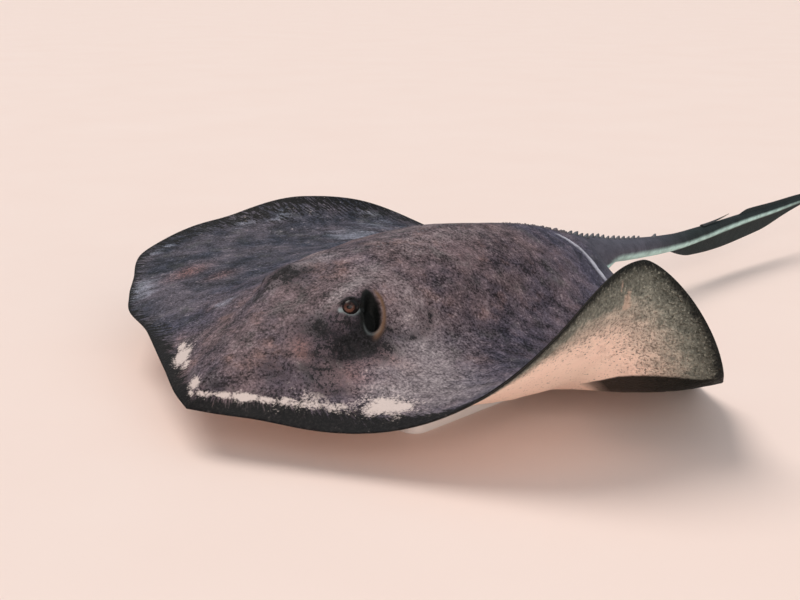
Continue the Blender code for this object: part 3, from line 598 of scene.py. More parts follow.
# Soft patches of the back: strength, place, half sizes, then the side if it is on one wing only
# (1 left, -1 right) and its turn in degrees
SNOUT_LINE = (
    (0.90, (0.006, 0.0155), (0.014, 0.0032), 1, 26), (1.10, (0.030, 0.0285), (0.014, 0.0034), 1, 28),
    (1.25, (0.055, 0.0435), (0.017, 0.0050), 1, 29), (0.95, (0.076, 0.0560), (0.012, 0.0045), 1, 30),
    (0.85, (0.097, 0.0700), (0.018, 0.0068), 1, 33), (0.80, (0.122, 0.0865), (0.020, 0.0075), 1, 33),
    (0.78, (0.146, 0.1020), (0.018, 0.0080), 1, 34), (0.62, (0.172, 0.1260), (0.024, 0.0090), 1, 36),
    (1.10, (0.197, 0.1365), (0.038, 0.0175), 1, 31), (0.50, (0.118, 0.0905), (0.042, 0.0150), 1, 33),
)
SNOUT_PATCHES = (
    (1.35, (0.094, 0.0640), (0.020, 0.0125), -1, 40), (1.10, (0.114, 0.0780), (0.012, 0.0060), -1, 40),
    (0.95, (0.068, 0.0500), (0.009, 0.0050), -1, 30), (1.05, (0.018, 0.0245), (0.017, 0.0055), -1, 28),
    (0.85, (0.010, 0.0135), (0.012, 0.0032), -1, 25),
)
# dark patches of the skin, and painted shade in the hollow under the left eye and under the brow by the
# breathing hole
DARK_PATCHES_AND_SHADE = (
    (0.95, (0.088, 0.166), (0.052, 0.021), 1, 40), (0.80, (0.100, 0.185), (0.024, 0.020), 1, 40),
    (0.60, (0.108, 0.116), (0.036, 0.018), 1), (0.40, (0.060, 0.080), (0.026, 0.012), 1),
    (1.20, (0.045, 0.184), (0.021, 0.016), -1), (0.50, (0.030, 0.205), (0.016, 0.016), -1),
    (0.80, (0.0545, 0.1500), (0.0035, 0.0180), -1), (0.90, (0.078, 0.196), (0.013, 0.009), 1, 50),
    (0.80, (0.019, 0.0310), (0.010, 0.0045), 1, 24),
)
# pale patches on raised places of the back: painted highlight where they face the light
PALE_AND_LIT_PATCHES = (
    (0.48, (0.083, 0.262), (0.026, 0.022)), (0.75, (0.045, 0.196), (0.010, 0.036)),
    (0.45, (0.036, 0.240), (0.016, 0.030)), (0.75, (0.155, 0.240), (0.050, 0.055), 1),
    (0.95, (0.225, 0.190), (0.070, 0.055), 1), (0.45, (0.180, 0.150), (0.034, 0.026), 1),
    (0.40, (0.020, 0.400), (0.016, 0.110)),
)
# pale bluish streaks on the right wing: paler markings, and painted sheen where the wing is seen edge-on
PALE_STREAKS_AND_SHEEN = (
    (0.90, (0.422, 0.433), (0.030, 0.022), -1, 60), (0.90, (0.388, 0.476), (0.030, 0.018), -1, 60),
    (0.95, (0.466, 0.305), (0.014, 0.040), -1), (1.00, (0.345, 0.168), (0.030, 0.026), -1),
    (0.70, (0.370, 0.200), (0.030, 0.026), -1), (0.85, (0.137, 0.166), (0.018, 0.026), -1, 20),
    (0.95, (0.238, 0.500), (0.060, 0.060), -1, 20), (0.60, (0.300, 0.600), (0.060, 0.034), -1),
)
BLUSHES = (
    (0.9, (0.325, 0.246), (0.022, 0.030), -1), (0.6, (0.255, 0.249), (0.020, 0.024), -1),
    (0.5, (0.130, 0.150), (0.030, 0.020), 1), (0.9, (0.140, 0.196), (0.034, 0.012), 1, 20),
    (0.6, (0.060, 0.118), (0.016, 0.010), 1),
)

round_margin, inward_from_rim = extra[:, 0], extra[:, 1]
along_rim_at = round_margin * MARGIN_LENGTH
band_left, band_right = (smooth(BAND_T, BAND_ABOVE[side])(round_margin) for side in (1, -1))
band_width = np.where(above, np.where(left, band_left, band_right),
                      smooth(BELOW_T, BAND_BELOW)(round_margin))
dusk_width = smooth(DUSK_T, DUSK)(round_margin)
hole, rearward, outer_end = around_spiracle(span, behind)
# the moat round the dome, which gets painted shade below
moat = bell(around_dome(span, behind) - 0.0380, 0.0060) * ease(0.0, 0.030, span - DOME_AT[0])
past_fold = round_margin - LENS_T + LENS_LEAN * inward_from_rim


def spots(patches):
    """Each of these patches by its strength."""
    return [strength * spot(at, half, *where) for strength, at, half, *where in patches]


# dark patches, and painted shade: in the fold over each eye, in the moat round the dome, and round the
# front of the breathing hole under its overhanging rim
dusky = sum(spots(DARK_PATCHES_AND_SHADE)) + 1.20 * lid_fold_shade + 0.50 * above * moat
dusky = dusky + 1.30 * above * (1 - ease(1.05, 1.75, hole)) * (1 - ease(-0.6, 0.2, rearward))
snout = np.maximum.reduce(spots(SNOUT_LINE)) + np.maximum.reduce(spots(SNOUT_PATCHES))
below_root = ~above * (1 - ease(0.030, 0.055, span))
brown = bell(span, 0.24) * (1 - ease(0.50, 0.68, behind))
# painted shade on the left wing's underside, behind the line where it folds under
lens = ease(0.004, 0.020, inward_from_rim) * (1 - ease(0.174, 0.192, inward_from_rim))
spiracle = hole + 0.10 * ease(-0.2, 0.6, rearward) - 0.30 * (1 - ease(-0.8, 0.0, rearward))
# a painted highlight along the lip of the crease, with fainter ones on the wrinkles behind it
off_crease = crease_behind(span, behind)
crease = bell(off_crease, 0.0042 + 0.0036 * ease(0.050, 0.075, span))
for strength, at, half in ((0.30, 0.0, 0.0150), (0.40, 0.0150, 0.0026), (0.25, 0.0250, 0.0020)):
    crease = crease + strength * bell(off_crease - at, half)
crease = crease * ease(0.012, 0.026, span) * (1 - ease(0.085, 0.115, span))
scar = bell(along_rim_at - 0.541, 0.0026) * ease(0.004, 0.010, inward_from_rim)
scar = np.maximum(scar * (1 - ease(0.026, 0.040, inward_from_rim)),
                  1.05 * swelling(along_rim_at, inward_from_rim, (0.552, 0.043), (0.0075, 0.016)))

# Pale stripe low on the tail: how far below its axis, in half heights
STRIPE_Y = (0.80, 0.90, 1.00, 1.145, 1.22, 1.30, 1.60)
STRIPE_DROP = (0.60, 0.44, 0.36, 0.28, 0.10, 0.10, 0.06)
tail_y, half_tall = tail[:, 1], tail_tall(tail[:, 1])
above_stripe = tail[:, 2] - tail_z(tail_y) + smooth(STRIPE_Y, STRIPE_DROP)(tail_y) * half_tall
stripe = np.clip(1.2 * bell(above_stripe, 0.38 * half_tall), 0, 1) * ease(0.80, 0.86, tail_y)
stripe = np.maximum(stripe, (above_stripe < 0) * (1 - ease(1.03, 1.06, tail_y)))

# What the hide's colours follow, point by point. A mark gives its values on the disc, on the tail
# and on the pelvic fins, or on the disc alone.
far_in = OFF * below_root * ease(0.690, 0.760, behind)
marks = {
    "inward": (inward_from_rim, 0.30, 0.02),
    "round": (along_rim_at, tail_y, 0.9),
    "band": (inward_from_rim / band_width + far_in, OFF, 1.4),
    "dusk": (np.where(above, OFF, inward_from_rim / dusk_width + far_in), OFF, 1.2),
    "under": (~above, 0.0, fin_below),
    "lens": ~above * left * lens * (1 - ease(0.02, LENS_FADE, past_fold)),
    "tail": (ease(0.70, 0.80, behind) * above, 1.0, 1.0 - fin_below),
    # the brown middle reaches less far on the right wing, and the right wing's slate is darker and bluer:
    # painted shade where it turns from the light
    "brown": above * brown * np.where(left, 1.0, 0.9 - 0.8 * ease(0.10, 0.24, span)),
    "far": above * np.where(left, 0.25 * ease(0.50, 0.66, behind), ease(0.10, 0.24, span)),
    "sand": np.clip(snout, 0, 1.3),
    # painted shade inside the breathing hole
    "hollow": above * (1 - ease(0.94, 1.16, spiracle)),
    "dusky": np.clip(dusky, 0, 1.3),
    "rear_rim": above * bell(hole - 1.22, 0.22) * ease(-0.1, 0.6, rearward),
    "lid": np.maximum(left * ease(0.35, 0.90, lower_lid),
                      0.22 * above * bell(hole - 1.14, 0.07) * ease(0.55, 0.95, outer_end)),
    "pale": np.clip(sum(spots(PALE_AND_LIT_PATCHES)), 0, 1),
    "wisp": np.clip(sum(spots(PALE_STREAKS_AND_SHEEN)), 0, 1),
    "blush": np.clip(sum(spots(BLUSHES)), 0, 1),
    "crease": above * crease,
    "scar": ~above * left * scar,
    "stripe": (below_root * ease(0.700, 0.779, behind), stripe * (1 - ease(1.35, 1.62, tail_y)), 0.0),
    "rearward": (0.0, ease(0.90, 1.12, tail_y), 0.0),
}
for name, values in marks.items():
    regions = values if isinstance(values, tuple) else (values, 0.0, 0.0)
    marks[name] = np.concatenate([np.broadcast_to(value, count) for value, count in zip(
        regions, (len(disc), len(tail), len(fin_points)))])

points = np.concatenate([disc, tail, fin_points])
faces, start = [], 0
for piece_points, piece_faces in ((disc, disc_faces), (tail, tail_faces), *fins):
    faces += [[k + start for k in face] for face in piece_faces]
    start += len(piece_points)


def set_marks(mesh, marks):
    """Gives each point of a mesh its value, or its direction, for every mark."""
    for name, values in marks.items():
        values = np.asarray(values, np.float32)
        kind, field = ("FLOAT", "value") if values.ndim == 1 else ("FLOAT_VECTOR", "vector")
        mesh.attributes.new(name, kind, "POINT").data.foreach_set(field, values.ravel())


def piece_of(name, points, faces, material, marks=None, merge=0.0, sharp=180):
    """A closed piece in the scene: its points merged and marked, its faces outwards, and smooth but
    for edges sharper than this many degrees."""
    mesh = bpy.data.meshes.new(name)
    mesh.from_pydata(np.asarray(points).tolist(), [], faces)
    set_marks(mesh, marks or {})
    bm = bmesh.new()
    bm.from_mesh(mesh)
    if merge:
        bmesh.ops.remove_doubles(bm, verts=bm.verts, dist=merge)
    bmesh.ops.recalc_face_normals(bm, faces=bm.faces)
    bm.to_mesh(mesh)
    bm.free()
    mesh.shade_smooth()
    if sharp < 180:
        mesh.set_sharp_from_angle(angle=math.radians(sharp))
    mesh.materials.append(material)
    made = bpy.data.objects.new(name, mesh)
    bpy.context.scene.collection.objects.link(made)
    return made


def linear(colour):
    """An sRGB hex colour as the linear values that a shader takes."""
    parts = [int(colour[i:i + 2], 16) / 255 for i in (1, 3, 5)]
    return (*[p / 12.92 if p <= 0.04045 else ((p + 0.055) / 1.055) ** 2.4 for p in parts], 1.0)


def add(tree, kind, inputs=None, stops=(), **settings):
    """Adds one node: its settings, the stops of its ramp, and a value or a link for its inputs."""
    made = tree.nodes.new(kind)
    for name, value in settings.items():
        setattr(made, name, value)
    for i, (place, value) in enumerate(stops):
        ramp = made.color_ramp.elements
        element = ramp[i] if i < len(ramp) else ramp.new(place)
        element.position, element.color = place, (value, value, value, 1.0)
    for socket, value in (inputs or {}).items():
        if isinstance(value, bpy.types.NodeSocket):
            tree.links.new(value, made.inputs[socket])
        else:
            made.inputs[socket].default_value = value
    return made


def new_material(name):
    """An empty node material with its shader and output joined."""
    made = bpy.data.materials.new(name)
    made.use_nodes = True
    shader = made.node_tree.nodes["Principled BSDF"]
    return made, made.node_tree, shader


def per_mm(size):
    """Scale of a pattern whose features are this many millimetres across."""
    return 1000.0 / size


def amount(tree, parts, ramp=(), offset=0.0, within=None, **settings):
    """How much of a finish shows: a weighted sum of patterns and marks, ramped from where it starts
    to where it is full, and kept within one more mark."""
    total = offset
    for value, weight in parts:
        total = add(tree, "ShaderNodeMath", {0: value, 1: weight, 2: total},
                    operation="MULTIPLY_ADD").outputs[0]
    if ramp:
        limits = dict(zip(("From Min", "From Max", "To Min", "To Max"), ramp))
        total = add(tree, "ShaderNodeMapRange", {"Value": total, **limits}, **settings).outputs[0]
    if within is not None:
        total = add(tree, "ShaderNodeMath", {0: total, 1: within}, operation="MULTIPLY").outputs[0]
    return total


FACTOR, A, B, MIXED = 0, 6, 7, 2        # sockets of a colour mix

# Wet ray hide: a thin slime over fine dark pigment cells, so it is mottled at every size, and
# satin, not glossy. Above it is slate with a brown middle; below cream, dusky towards the rim.
hide_material, tree, shader = new_material("wet ray hide")
place = add(tree, "ShaderNodeTexCoord").outputs["Object"]
mark = {name: add(tree, "ShaderNodeAttribute", attribute_name=name).outputs["Fac"] for name in marks}
blotch, mottle, grain, specks, knobs, pebbles = (
    add(tree, "ShaderNodeTexNoise", {"Vector": place, "Scale": per_mm(size), "Detail": detail,
                                     "Roughness": roughness, "Distortion": bent}).outputs["Fac"]
    for size, detail, roughness, bent in (
        (70, 4.0, 0.60, 0.0), (18, 5.0, 0.75, 0.4), (3.2, 2.0, 0.70, 0.0),
        (3.2, 2.0, 0.60, 0.0), (9, 3.0, 0.65, 0.0), (2.6, 2.0, 0.50, 0.0)))
ruddy = add(tree, "ShaderNodeTexNoise", {"Vector": place, "Scale": per_mm(34), "Detail": 4.0,
                                         "Roughness": 0.65, "W": 3.0}, noise_dimensions="4D").outputs["Fac"]
along_rim = add(tree, "ShaderNodeCombineXYZ", {"X": mark["round"], "Y": mark["inward"]}).outputs[0]
rays = add(tree, "ShaderNodeMapping", {"Vector": along_rim, "Scale": (per_mm(5), per_mm(26), 1.0)})
streaks = add(tree, "ShaderNodeTexNoise", {"Vector": rays.outputs[0], "Scale": 1.0, "Detail": 4.0,
                                           "Roughness": 0.72}).outputs["Fac"]
# faint drawn-out cloud, lying across the body from the right front to the left rear
drawn = add(tree, "ShaderNodeMapping", {"Vector": place, "Rotation": (0.0, 0.0, math.radians(43)),
                                        "Scale": (0.085, 0.020, 0.020)}, vector_type="TEXTURE")
combed = add(tree, "ShaderNodeTexNoise", {"Vector": drawn.outputs[0], "Scale": 1.0, "Detail": 5.0,
                                          "Roughness": 0.66, "Distortion": 0.6}).outputs["Fac"]

# upper side: slate or brown, clouded, then lighter and darker by cloud, mottle and grain
browner = amount(tree, ((blotch, 2.2), (mark["brown"], 1.0)), (0.0, 1.0), offset=-1.1)
clouds = amount(tree, ((blotch, 1.0),), (0.38, 0.62))
rusty = amount(tree, ((ruddy, 1.0),), (0.54, 0.68, 0.0, 0.55), within=mark["brown"])
blushing = amount(tree, ((grain, 1.0),), (0.40, 0.65, 0.15, 0.60), within=mark["blush"])
mossy = amount(tree, ((ruddy, 1.0),), (0.46, 0.34, 0.0, 0.45))
# pale bluish streaks of the right wing, partly painted sheen
paler_streaks_and_sheen = amount(tree, ((combed, 2.0), (mark["wisp"], 1.0)), (1.45, 2.40, 0.0, 0.55))
tone = amount(tree, ((blotch, 1.3), (mottle, 2.7), (combed, 2.0), (grain, 3.4)),
              (4.30, 5.95, 0.18, 2.25), offset=0.35)
rough = amount(tree, ((grain, 1.6), (mottle, 2.2)), offset=-0.8)
# pale flecks, and painted highlight on the raised places
paler_and_lit = amount(tree, ((rough, 0.5), (mark["pale"], 1.0)), (0.62, 1.60, 0.0, 0.74))
pale_grain = amount(tree, ((mottle, 0.8), (grain, 1.0)), (0.75, 1.10))
# black band round the margin, broken up by streaks that run inwards
reach_in = amount(tree, ((streaks, -3.4), (mottle, -1.4), (grain, -0.9), (mark["band"], 1.0)), offset=1.7)
teeth = amount(tree, ((streaks, -6.5),), offset=3.35)
band = amount(tree, ((reach_in, 1.0), (teeth, mark["far"])), (-0.30, 0.06, 0.97, 0.0))
band_grain = amount(tree, ((mottle, 0.8), (grain, 1.0)), (0.90, 1.20))
# sand-pale scuffs along the snout, a painted white highlight along the crease, and dark patches with
# painted shade round the eyes
scuffed = amount(tree, ((mottle, 1.8), (grain, 1.4), (mark["sand"], 1.0)), (0.62, 1.05, 0.0, 0.92),
                 offset=-1.35)
flayed = amount(tree, ((grain, 0.8), (mottle, 1.0)))
# painted highlight along the crease, frayed by the grain
line = amount(tree, ((mark["crease"], flayed),), (0.14, 0.95, 0.0, 0.85))
# dark patches of the skin with painted shade round the eyes and the breathing hole, broken up by the grain
only_there = amount(tree, ((mark["dusky"], 1.0),), (0.04, 0.40))
darker_patches_and_shade = amount(tree, ((rough, 2.4), (mark["dusky"], 1.0)), (3.05, 3.50, 0.0, 0.96), within=only_there)
patch_and_shade_grain = amount(tree, ((grain, 1.0),), (0.42, 0.66))

# lower side: cream, speckled, turning grey-green and then black towards the margin
inner = amount(tree, ((mottle, 0.9), (mark["dusk"], 1.0)), offset=-0.45)
dusk = amount(tree, ((inner, 1.0),), (0.42, 1.22, 1.0, 0.0))
dusk_grain = amount(tree, ((mottle, 1.0),), (0.36, 0.64))
nearer = amount(tree, ((streaks, 0.6), (mark["dusk"], 1.0)), (0.28, 0.86, 0.90, 0.0))
between = amount(tree, ((inner, 1.0),), (0.80, 1.50, 1.0, 0.0), interpolation_type="SMOOTHSTEP")
fainter = amount(tree, ((dusk, -0.55),), offset=1.0)
dots = amount(tree, ((between, 0.10), (specks, 1.0)), (0.625, 0.70, 0.0, 0.75), within=fainter)
flecks = amount(tree, ((specks, 1.0),), (0.42, 0.32, 0.0, 0.45), within=dusk)
scarred = amount(tree, ((mottle, 2.6), (mark["scar"], 1.0)), (1.70, 2.05, 0.0, 0.85))
below_black = amount(tree, ((reach_in, 1.0),), (-0.70, 0.24, 0.93, 0.0))
# painted shade: the left wing's underside behind its fold, near black from a sharp edge
shaded = amount(tree, ((mark["inward"], LENS_LEAN), (mark["round"], 1 / MARGIN_LENGTH), (mottle, 0.004)),
                (0.0005, 0.0035, 0.0, 0.97), -LENS_T, mark["lens"], interpolation_type="SMOOTHSTEP")

# two shades of each ground, and the dark slate of the tail; the far wing's ground is darker and bluer,
# painted shade where it turns from the light
slate, far_wing_shaded_slate, pale, black, patch_and_shade_dark, belly, grey_green, whip, dark_whip = (
    add(tree, "ShaderNodeMix", {FACTOR: shade, A: linear(one), B: linear(other)},
        data_type="RGBA").outputs[MIXED]
    for shade, one, other in (
        (browner, "#444251", "#584b4e"), (clouds, "#2d313d", "#47434b"), (pale_grain, "#6d6468", "#b2a8a9"),
        (band_grain, "#050607", "#252422"), (patch_and_shade_grain, "#040505", "#262528"),
        (blotch, "#fbd6c6", "#f2decb"), (dusk_grain, "#787a71", "#a9aa9d"),
        (mottle, "#24262d", "#6a6a76"), (mottle, "#0c1213", "#353e3f")))
whip = add(tree, "ShaderNodeMix", {FACTOR: mark["rearward"], A: whip, B: dark_whip},
           data_type="RGBA").outputs[MIXED]
for cover, colour in ((dusk, grey_green), (nearer, linear("#363731")), (dots, linear("#3a3b35")),
                      (flecks, linear("#bcbcae")), (scarred, linear("#c6ae9d")),
                      (below_black, linear("#1d1f1e")), (shaded, linear("#0f0f0b"))):
    belly = add(tree, "ShaderNodeMix", {FACTOR: cover, A: belly, B: colour},
                data_type="RGBA").outputs[MIXED]
skin = slate
# the far wing painted darker and bluer as shade, then rust, blush, moss, and pale streaks that are partly
# painted sheen
for cover, colour in ((mark["far"], far_wing_shaded_slate), (rusty, linear("#6f5752")), (blushing, linear("#84594e")),
                      (mossy, linear("#3f413f")), (paler_streaks_and_sheen, linear("#8d93a0"))):
    skin = add(tree, "ShaderNodeMix", {FACTOR: cover, A: skin, B: colour},
               data_type="RGBA").outputs[MIXED]
skin = add(tree, "ShaderNodeVectorMath", {0: skin, "Scale": tone}, operation="SCALE").outputs[0]
# the tail has a pale stripe low on each side, frayed at its edges
ragged = amount(tree, ((mottle, 1.6),), offset=0.2)
frayed = amount(tree, ((mark["stripe"], ragged),), (0.12, 1.15))
# over the skin: pale patches and painted highlight, the black band, scuffs, the crease's painted highlight,
# dark patches and painted shade, the rear rim, painted shade inside the breathing hole, the lids, then
# belly, tail and stripe
for cover, colour in ((paler_and_lit, pale), (band, black), (scuffed, linear("#cdbfb9")), (line, linear("#c8cbd6")),
                      (darker_patches_and_shade, patch_and_shade_dark), (mark["rear_rim"], linear("#6a5140")),
                      (mark["hollow"], linear("#0b0d0c")), (mark["lid"], linear("#879192")),
                      (mark["under"], belly), (mark["tail"], whip), (frayed, linear("#b6d8d2"))):
    skin = add(tree, "ShaderNodeMix", {FACTOR: cover, A: skin, B: colour},
               data_type="RGBA").outputs[MIXED]
tree.links.new(skin, shader.inputs["Base Color"])
wet = amount(tree, ((mottle, 1.0),), (0.0, 1.0, 0.48, 0.80))
tree.links.new(wet, shader.inputs["Roughness"])

# pores and creases all over, pits at the specks, and knobbly skin in the dusk below
pits = amount(tree, ((between, mark["under"]),), within=specks)
knobbly = amount(tree, ((knobs, dusk),), within=mark["under"])
relief = None
for height, strength, tall in ((pebbles, 0.6, 0.0006), (mottle, 0.7, 0.0026), (pits, 1.0, -0.0055),
                               (knobbly, 1.0, 0.0060)):
    under = {} if relief is None else {"Normal": relief}
    relief = add(tree, "ShaderNodeBump", {"Height": height, "Strength": strength, "Distance": tall,
                                          **under}).outputs[0]
tree.links.new(relief, shader.inputs["Normal"])
shader.inputs["IOR"].default_value = 1.40
shader.inputs["Specular IOR Level"].default_value = 0.18

hide = piece_of("hide", placed(points), faces, hide_material, marks, merge=4e-6)
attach(hide, "root")
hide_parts("head", "trunk", "pectoral_fin_left", "pectoral_fin_right", "pelvic_fin_left",
            "pelvic_fin_right", "tail_base", "tail_middle", "tail_whip_front", "tail_whip_rear",
            "tail_finfold", "tail_keel")


# ---------------------------------------------------------------------------- the eyes
# Two eyeballs, each a globe with a bulging clear cornea over an amber-brown iris. They sit in
# the lids' openings, and the pupil is drawn in above by the flap that rays have.
PUPIL, IRIS, WHITE = 0.23, 0.64, 1.30   # edges of the rings, as angles off the line of sight
GAZE = (0.60, -0.74, 0.28)              # outward, forward and up
CORNEA, CORNEA_WIDE = 0.05, 0.50        # how far it bulges, in radii, and its spread as an angle
EYE_RINGS, EYE_AROUND = 44, 64

# Clear wet cornea over a fibrous iris: a dark eye that darkens towards its rim, with a soft glint; the
# iris's top is painted darker as shade under the upper lid
glassy, tree, shader = new_material("eye under clear cornea")
off = add(tree, "ShaderNodeAttribute", attribute_name="off").outputs["Fac"]
turn = add(tree, "ShaderNodeAttribute", attribute_name="turn").outputs["Vector"]
iris_top_shade = add(tree, "ShaderNodeSeparateXYZ", {"Vector": turn}).outputs["Y"]
fibres = add(tree, "ShaderNodeTexNoise", {"Vector": turn, "Scale": 5.0, "Detail": 4.0,
                                         "Distortion": 1.2}).outputs["Fac"]
# the iris is painted darker towards its top, as shade under the upper lid
fibres = amount(tree, ((iris_top_shade, -0.11), (fibres, 1.0)), (0.28, 0.80))
rim_dark = amount(tree, ((off, 1.0),), (IRIS - 0.14, IRIS, 0.0, 0.97))
white = amount(tree, ((off, 1.0),), (WHITE, WHITE + 0.10, 0.0, 0.8))
slit_shape = add(tree, "ShaderNodeAttribute", attribute_name="pupil").outputs["Fac"]
pupil = amount(tree, ((slit_shape, 1.0),), (PUPIL - 0.03, PUPIL + 0.03, 1.0, 0.0))
globe = linear("#160c0a")
for cover, colour in ((fibres, "#6d4638"), (rim_dark, "#0c0a0a"), (white, "#4a4648"), (pupil, "#030303")):
    globe = add(tree, "ShaderNodeMix", {FACTOR: cover, A: globe, B: linear(colour)},
                data_type="RGBA").outputs[MIXED]
tree.links.new(globe, shader.inputs["Base Color"])
shader.inputs["Roughness"].default_value = 0.32
shader.inputs["Specular IOR Level"].default_value = 0.15
shader.inputs["Coat Weight"].default_value = 0.25
shader.inputs["Coat Roughness"].default_value = 0.16

off = math.pi * (np.arange(1, EYE_RINGS) / EYE_RINGS)[:, None, None] ** 1.25
about = 2 * math.pi * np.arange(EYE_AROUND)[None, :, None] / EYE_AROUND
aside, upward = np.cos(about), np.sin(about)
radius = EYE_RADIUS * (1 + CORNEA * bell(off, CORNEA_WIDE))
slit_shape = off * (1 + 0.9 * np.maximum(upward, 0) ** 2 - 0.15 * aside ** 2)
turns = np.concatenate(np.broadcast_arrays(aside * 2.0, upward * 2.0, off * 0.6), -1).reshape(-1, 3)
eye_marks = {"off": np.r_[np.repeat(off, EYE_AROUND), 0.0, math.pi],
             "pupil": np.r_[slit_shape.ravel(), 0.0, math.pi],
             "turn": np.concatenate([turns, np.zeros((2, 3))])}
front = (EYE_RINGS - 1) * EYE_AROUND    # number of the cornea's middle point; the rearmost is next
eye_faces = bands(EYE_RINGS - 1, EYE_AROUND)
for k in range(EYE_AROUND):
    n, last = (k + 1) % EYE_AROUND, front - EYE_AROUND
    eye_faces += [(front, k, n), (last + k, front + 1, last + n)]

for side, name in ((1, "eye_left"), (-1, "eye_right")):
    look = np.array(Vector((side * GAZE[0], GAZE[1], GAZE[2])).normalized())
    upright = np.array(Vector(np.array([0, 0, 1]) - look * look[2]).normalized())
    ray = look * np.cos(off) + (np.cross(upright, look) * aside + upright * upward) * np.sin(off)
    globe = np.concatenate([(ray * radius).reshape(-1, 3), [look * EYE_RADIUS * (1 + CORNEA)],
                            [-look * EYE_RADIUS]])
    eye = piece_of(name + "_globe", placed(globe + np.array(EYE_AT[side]) * (side, 1, 1)), eye_faces,
                   glassy, eye_marks)
    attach(eye, "root")
    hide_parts(name)


# ---------------------------------------------------------------------------- the sting
# One barb of hard bone-like dentine, flat, with a groove down its back and backward-pointing teeth
# on both edges. It lies on the tail and lifts at its tip, and a dark skin still clings to its root.
STING_Y0, STING_Y1 = 1.145, 1.238
STING_WIDE, STING_THICK, STING_RISE, SEAT = 0.0075, 0.0036, 0.0080, 0.0003
TEETH, TOOTH = 30, 0.20                 # teeth on each edge, and their share of the half width

# Dentine, fibrous along its length: dull, and bone-coloured only where the skin has worn off
bone, tree, shader = new_material("dentine under dark skin")
place = add(tree, "ShaderNodeTexCoord").outputs["Object"]
peeled = add(tree, "ShaderNodeAttribute", attribute_name="along").outputs["Fac"]
fibrous = add(tree, "ShaderNodeMapping", {"Vector": place,
                                          "Scale": (per_mm(1.0), per_mm(9.0), per_mm(1.0))})
fibrous = add(tree, "ShaderNodeTexNoise", {"Vector": fibrous.outputs[0], "Scale": 1.0,
                                           "Detail": 3.0}).outputs["Fac"]
peeled = amount(tree, ((fibrous, 1.0), (peeled, 1.0)), (1.05, 1.45, 0.0, 0.8))
barb_colour = add(tree, "ShaderNodeMix", {FACTOR: peeled, A: linear("#2b2d2e"), B: linear("#8b8272")},
                  data_type="RGBA").outputs[MIXED]
tree.links.new(barb_colour, shader.inputs["Base Color"])
shader.inputs["Roughness"].default_value = 0.45
grooves = add(tree, "ShaderNodeBump", {"Height": fibrous, "Strength": 0.5, "Distance": 0.0003})
tree.links.new(grooves.outputs[0], shader.inputs["Normal"])


def capped(rings, around):
    """Faces of a closed skin over rings that follow one another, with a flat face at each end."""
    count = rings * around
    return bands(rings, around) + [tuple(range(around)), tuple(range(count - 1, count - around - 1, -1))]


# Section of the barb: across, in half widths, and up, in thicknesses
SECTION = ((-0.55, 0.0), (0.0, -0.02), (0.55, 0.0), (0.85, 0.22), (1.0, 0.40), (0.80, 0.62), (0.45, 0.95),
           (0.18, 0.96), (0.0, 0.72), (-0.18, 0.96), (-0.45, 0.95), (-0.80, 0.62), (-1.0, 0.40),
           (-0.85, 0.22))
u = np.linspace(0, 1, 6 * TEETH + 1)[:, None]
y = STING_Y0 + (STING_Y1 - STING_Y0) * u
low = tail_z(y) + tail_tall(y) + SEAT + STING_RISE * u ** 1.6
wide = STING_WIDE / 2 * (1 - u) ** 0.6 + 0.0004
thick = STING_THICK * (1 - 0.75 * u)
bite = TOOTH * ((1 - u * TEETH) % 1.0) * ease(0.10, 0.20, u)
aside, up = np.array(SECTION).T[:, None]
x = tail_x(y) + aside * wide * (1 - bite * (np.abs(aside) > 0.9))
sting_points = np.stack(np.broadcast_arrays(x, y, low + up * thick), -1).reshape(-1, 3)
barb = piece_of("barb", placed(sting_points), capped(len(u), len(SECTION)), bone,
                {"along": np.repeat(u, len(SECTION))}, sharp=35)
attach(barb, "root")
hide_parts("sting")


# ---------------------------------------------------------------------------- thorns and tubercles
# Hard enamel thorns set in the hide: a row of blunt hooks along the end of the back and the tail's
# root, and low tubercles in front of them along the midline and in a short row on each shoulder.
THORN_Y = [0.735 + 0.0155 * i for i in range(14)] + [0.987]
THORN_TALL, TUBERCLE_TALL = 0.0050, 0.0010
WING_REACH = 0.45                       # from the spine to the margin beside these rows
SHOULDER_ROW = [(0.030 + 0.0014 * i, 0.330 + 0.0085 * i) for i in range(9)]


def turned(outline_points, sides, lean=0.0):
    """Points and faces of a closed turned shape from its outline, top to bottom, bent backwards by
    lean at its top."""
    radius, height = np.array(outline_points).T[..., None]
    about = 2 * math.pi * np.arange(sides) / sides
    points = np.stack(np.broadcast_arrays(
        radius * np.cos(about), radius * np.sin(about) + lean * np.maximum(height, 0) ** 2, height), -1)
    return points.reshape(-1, 3), capped(len(outline_points), sides)


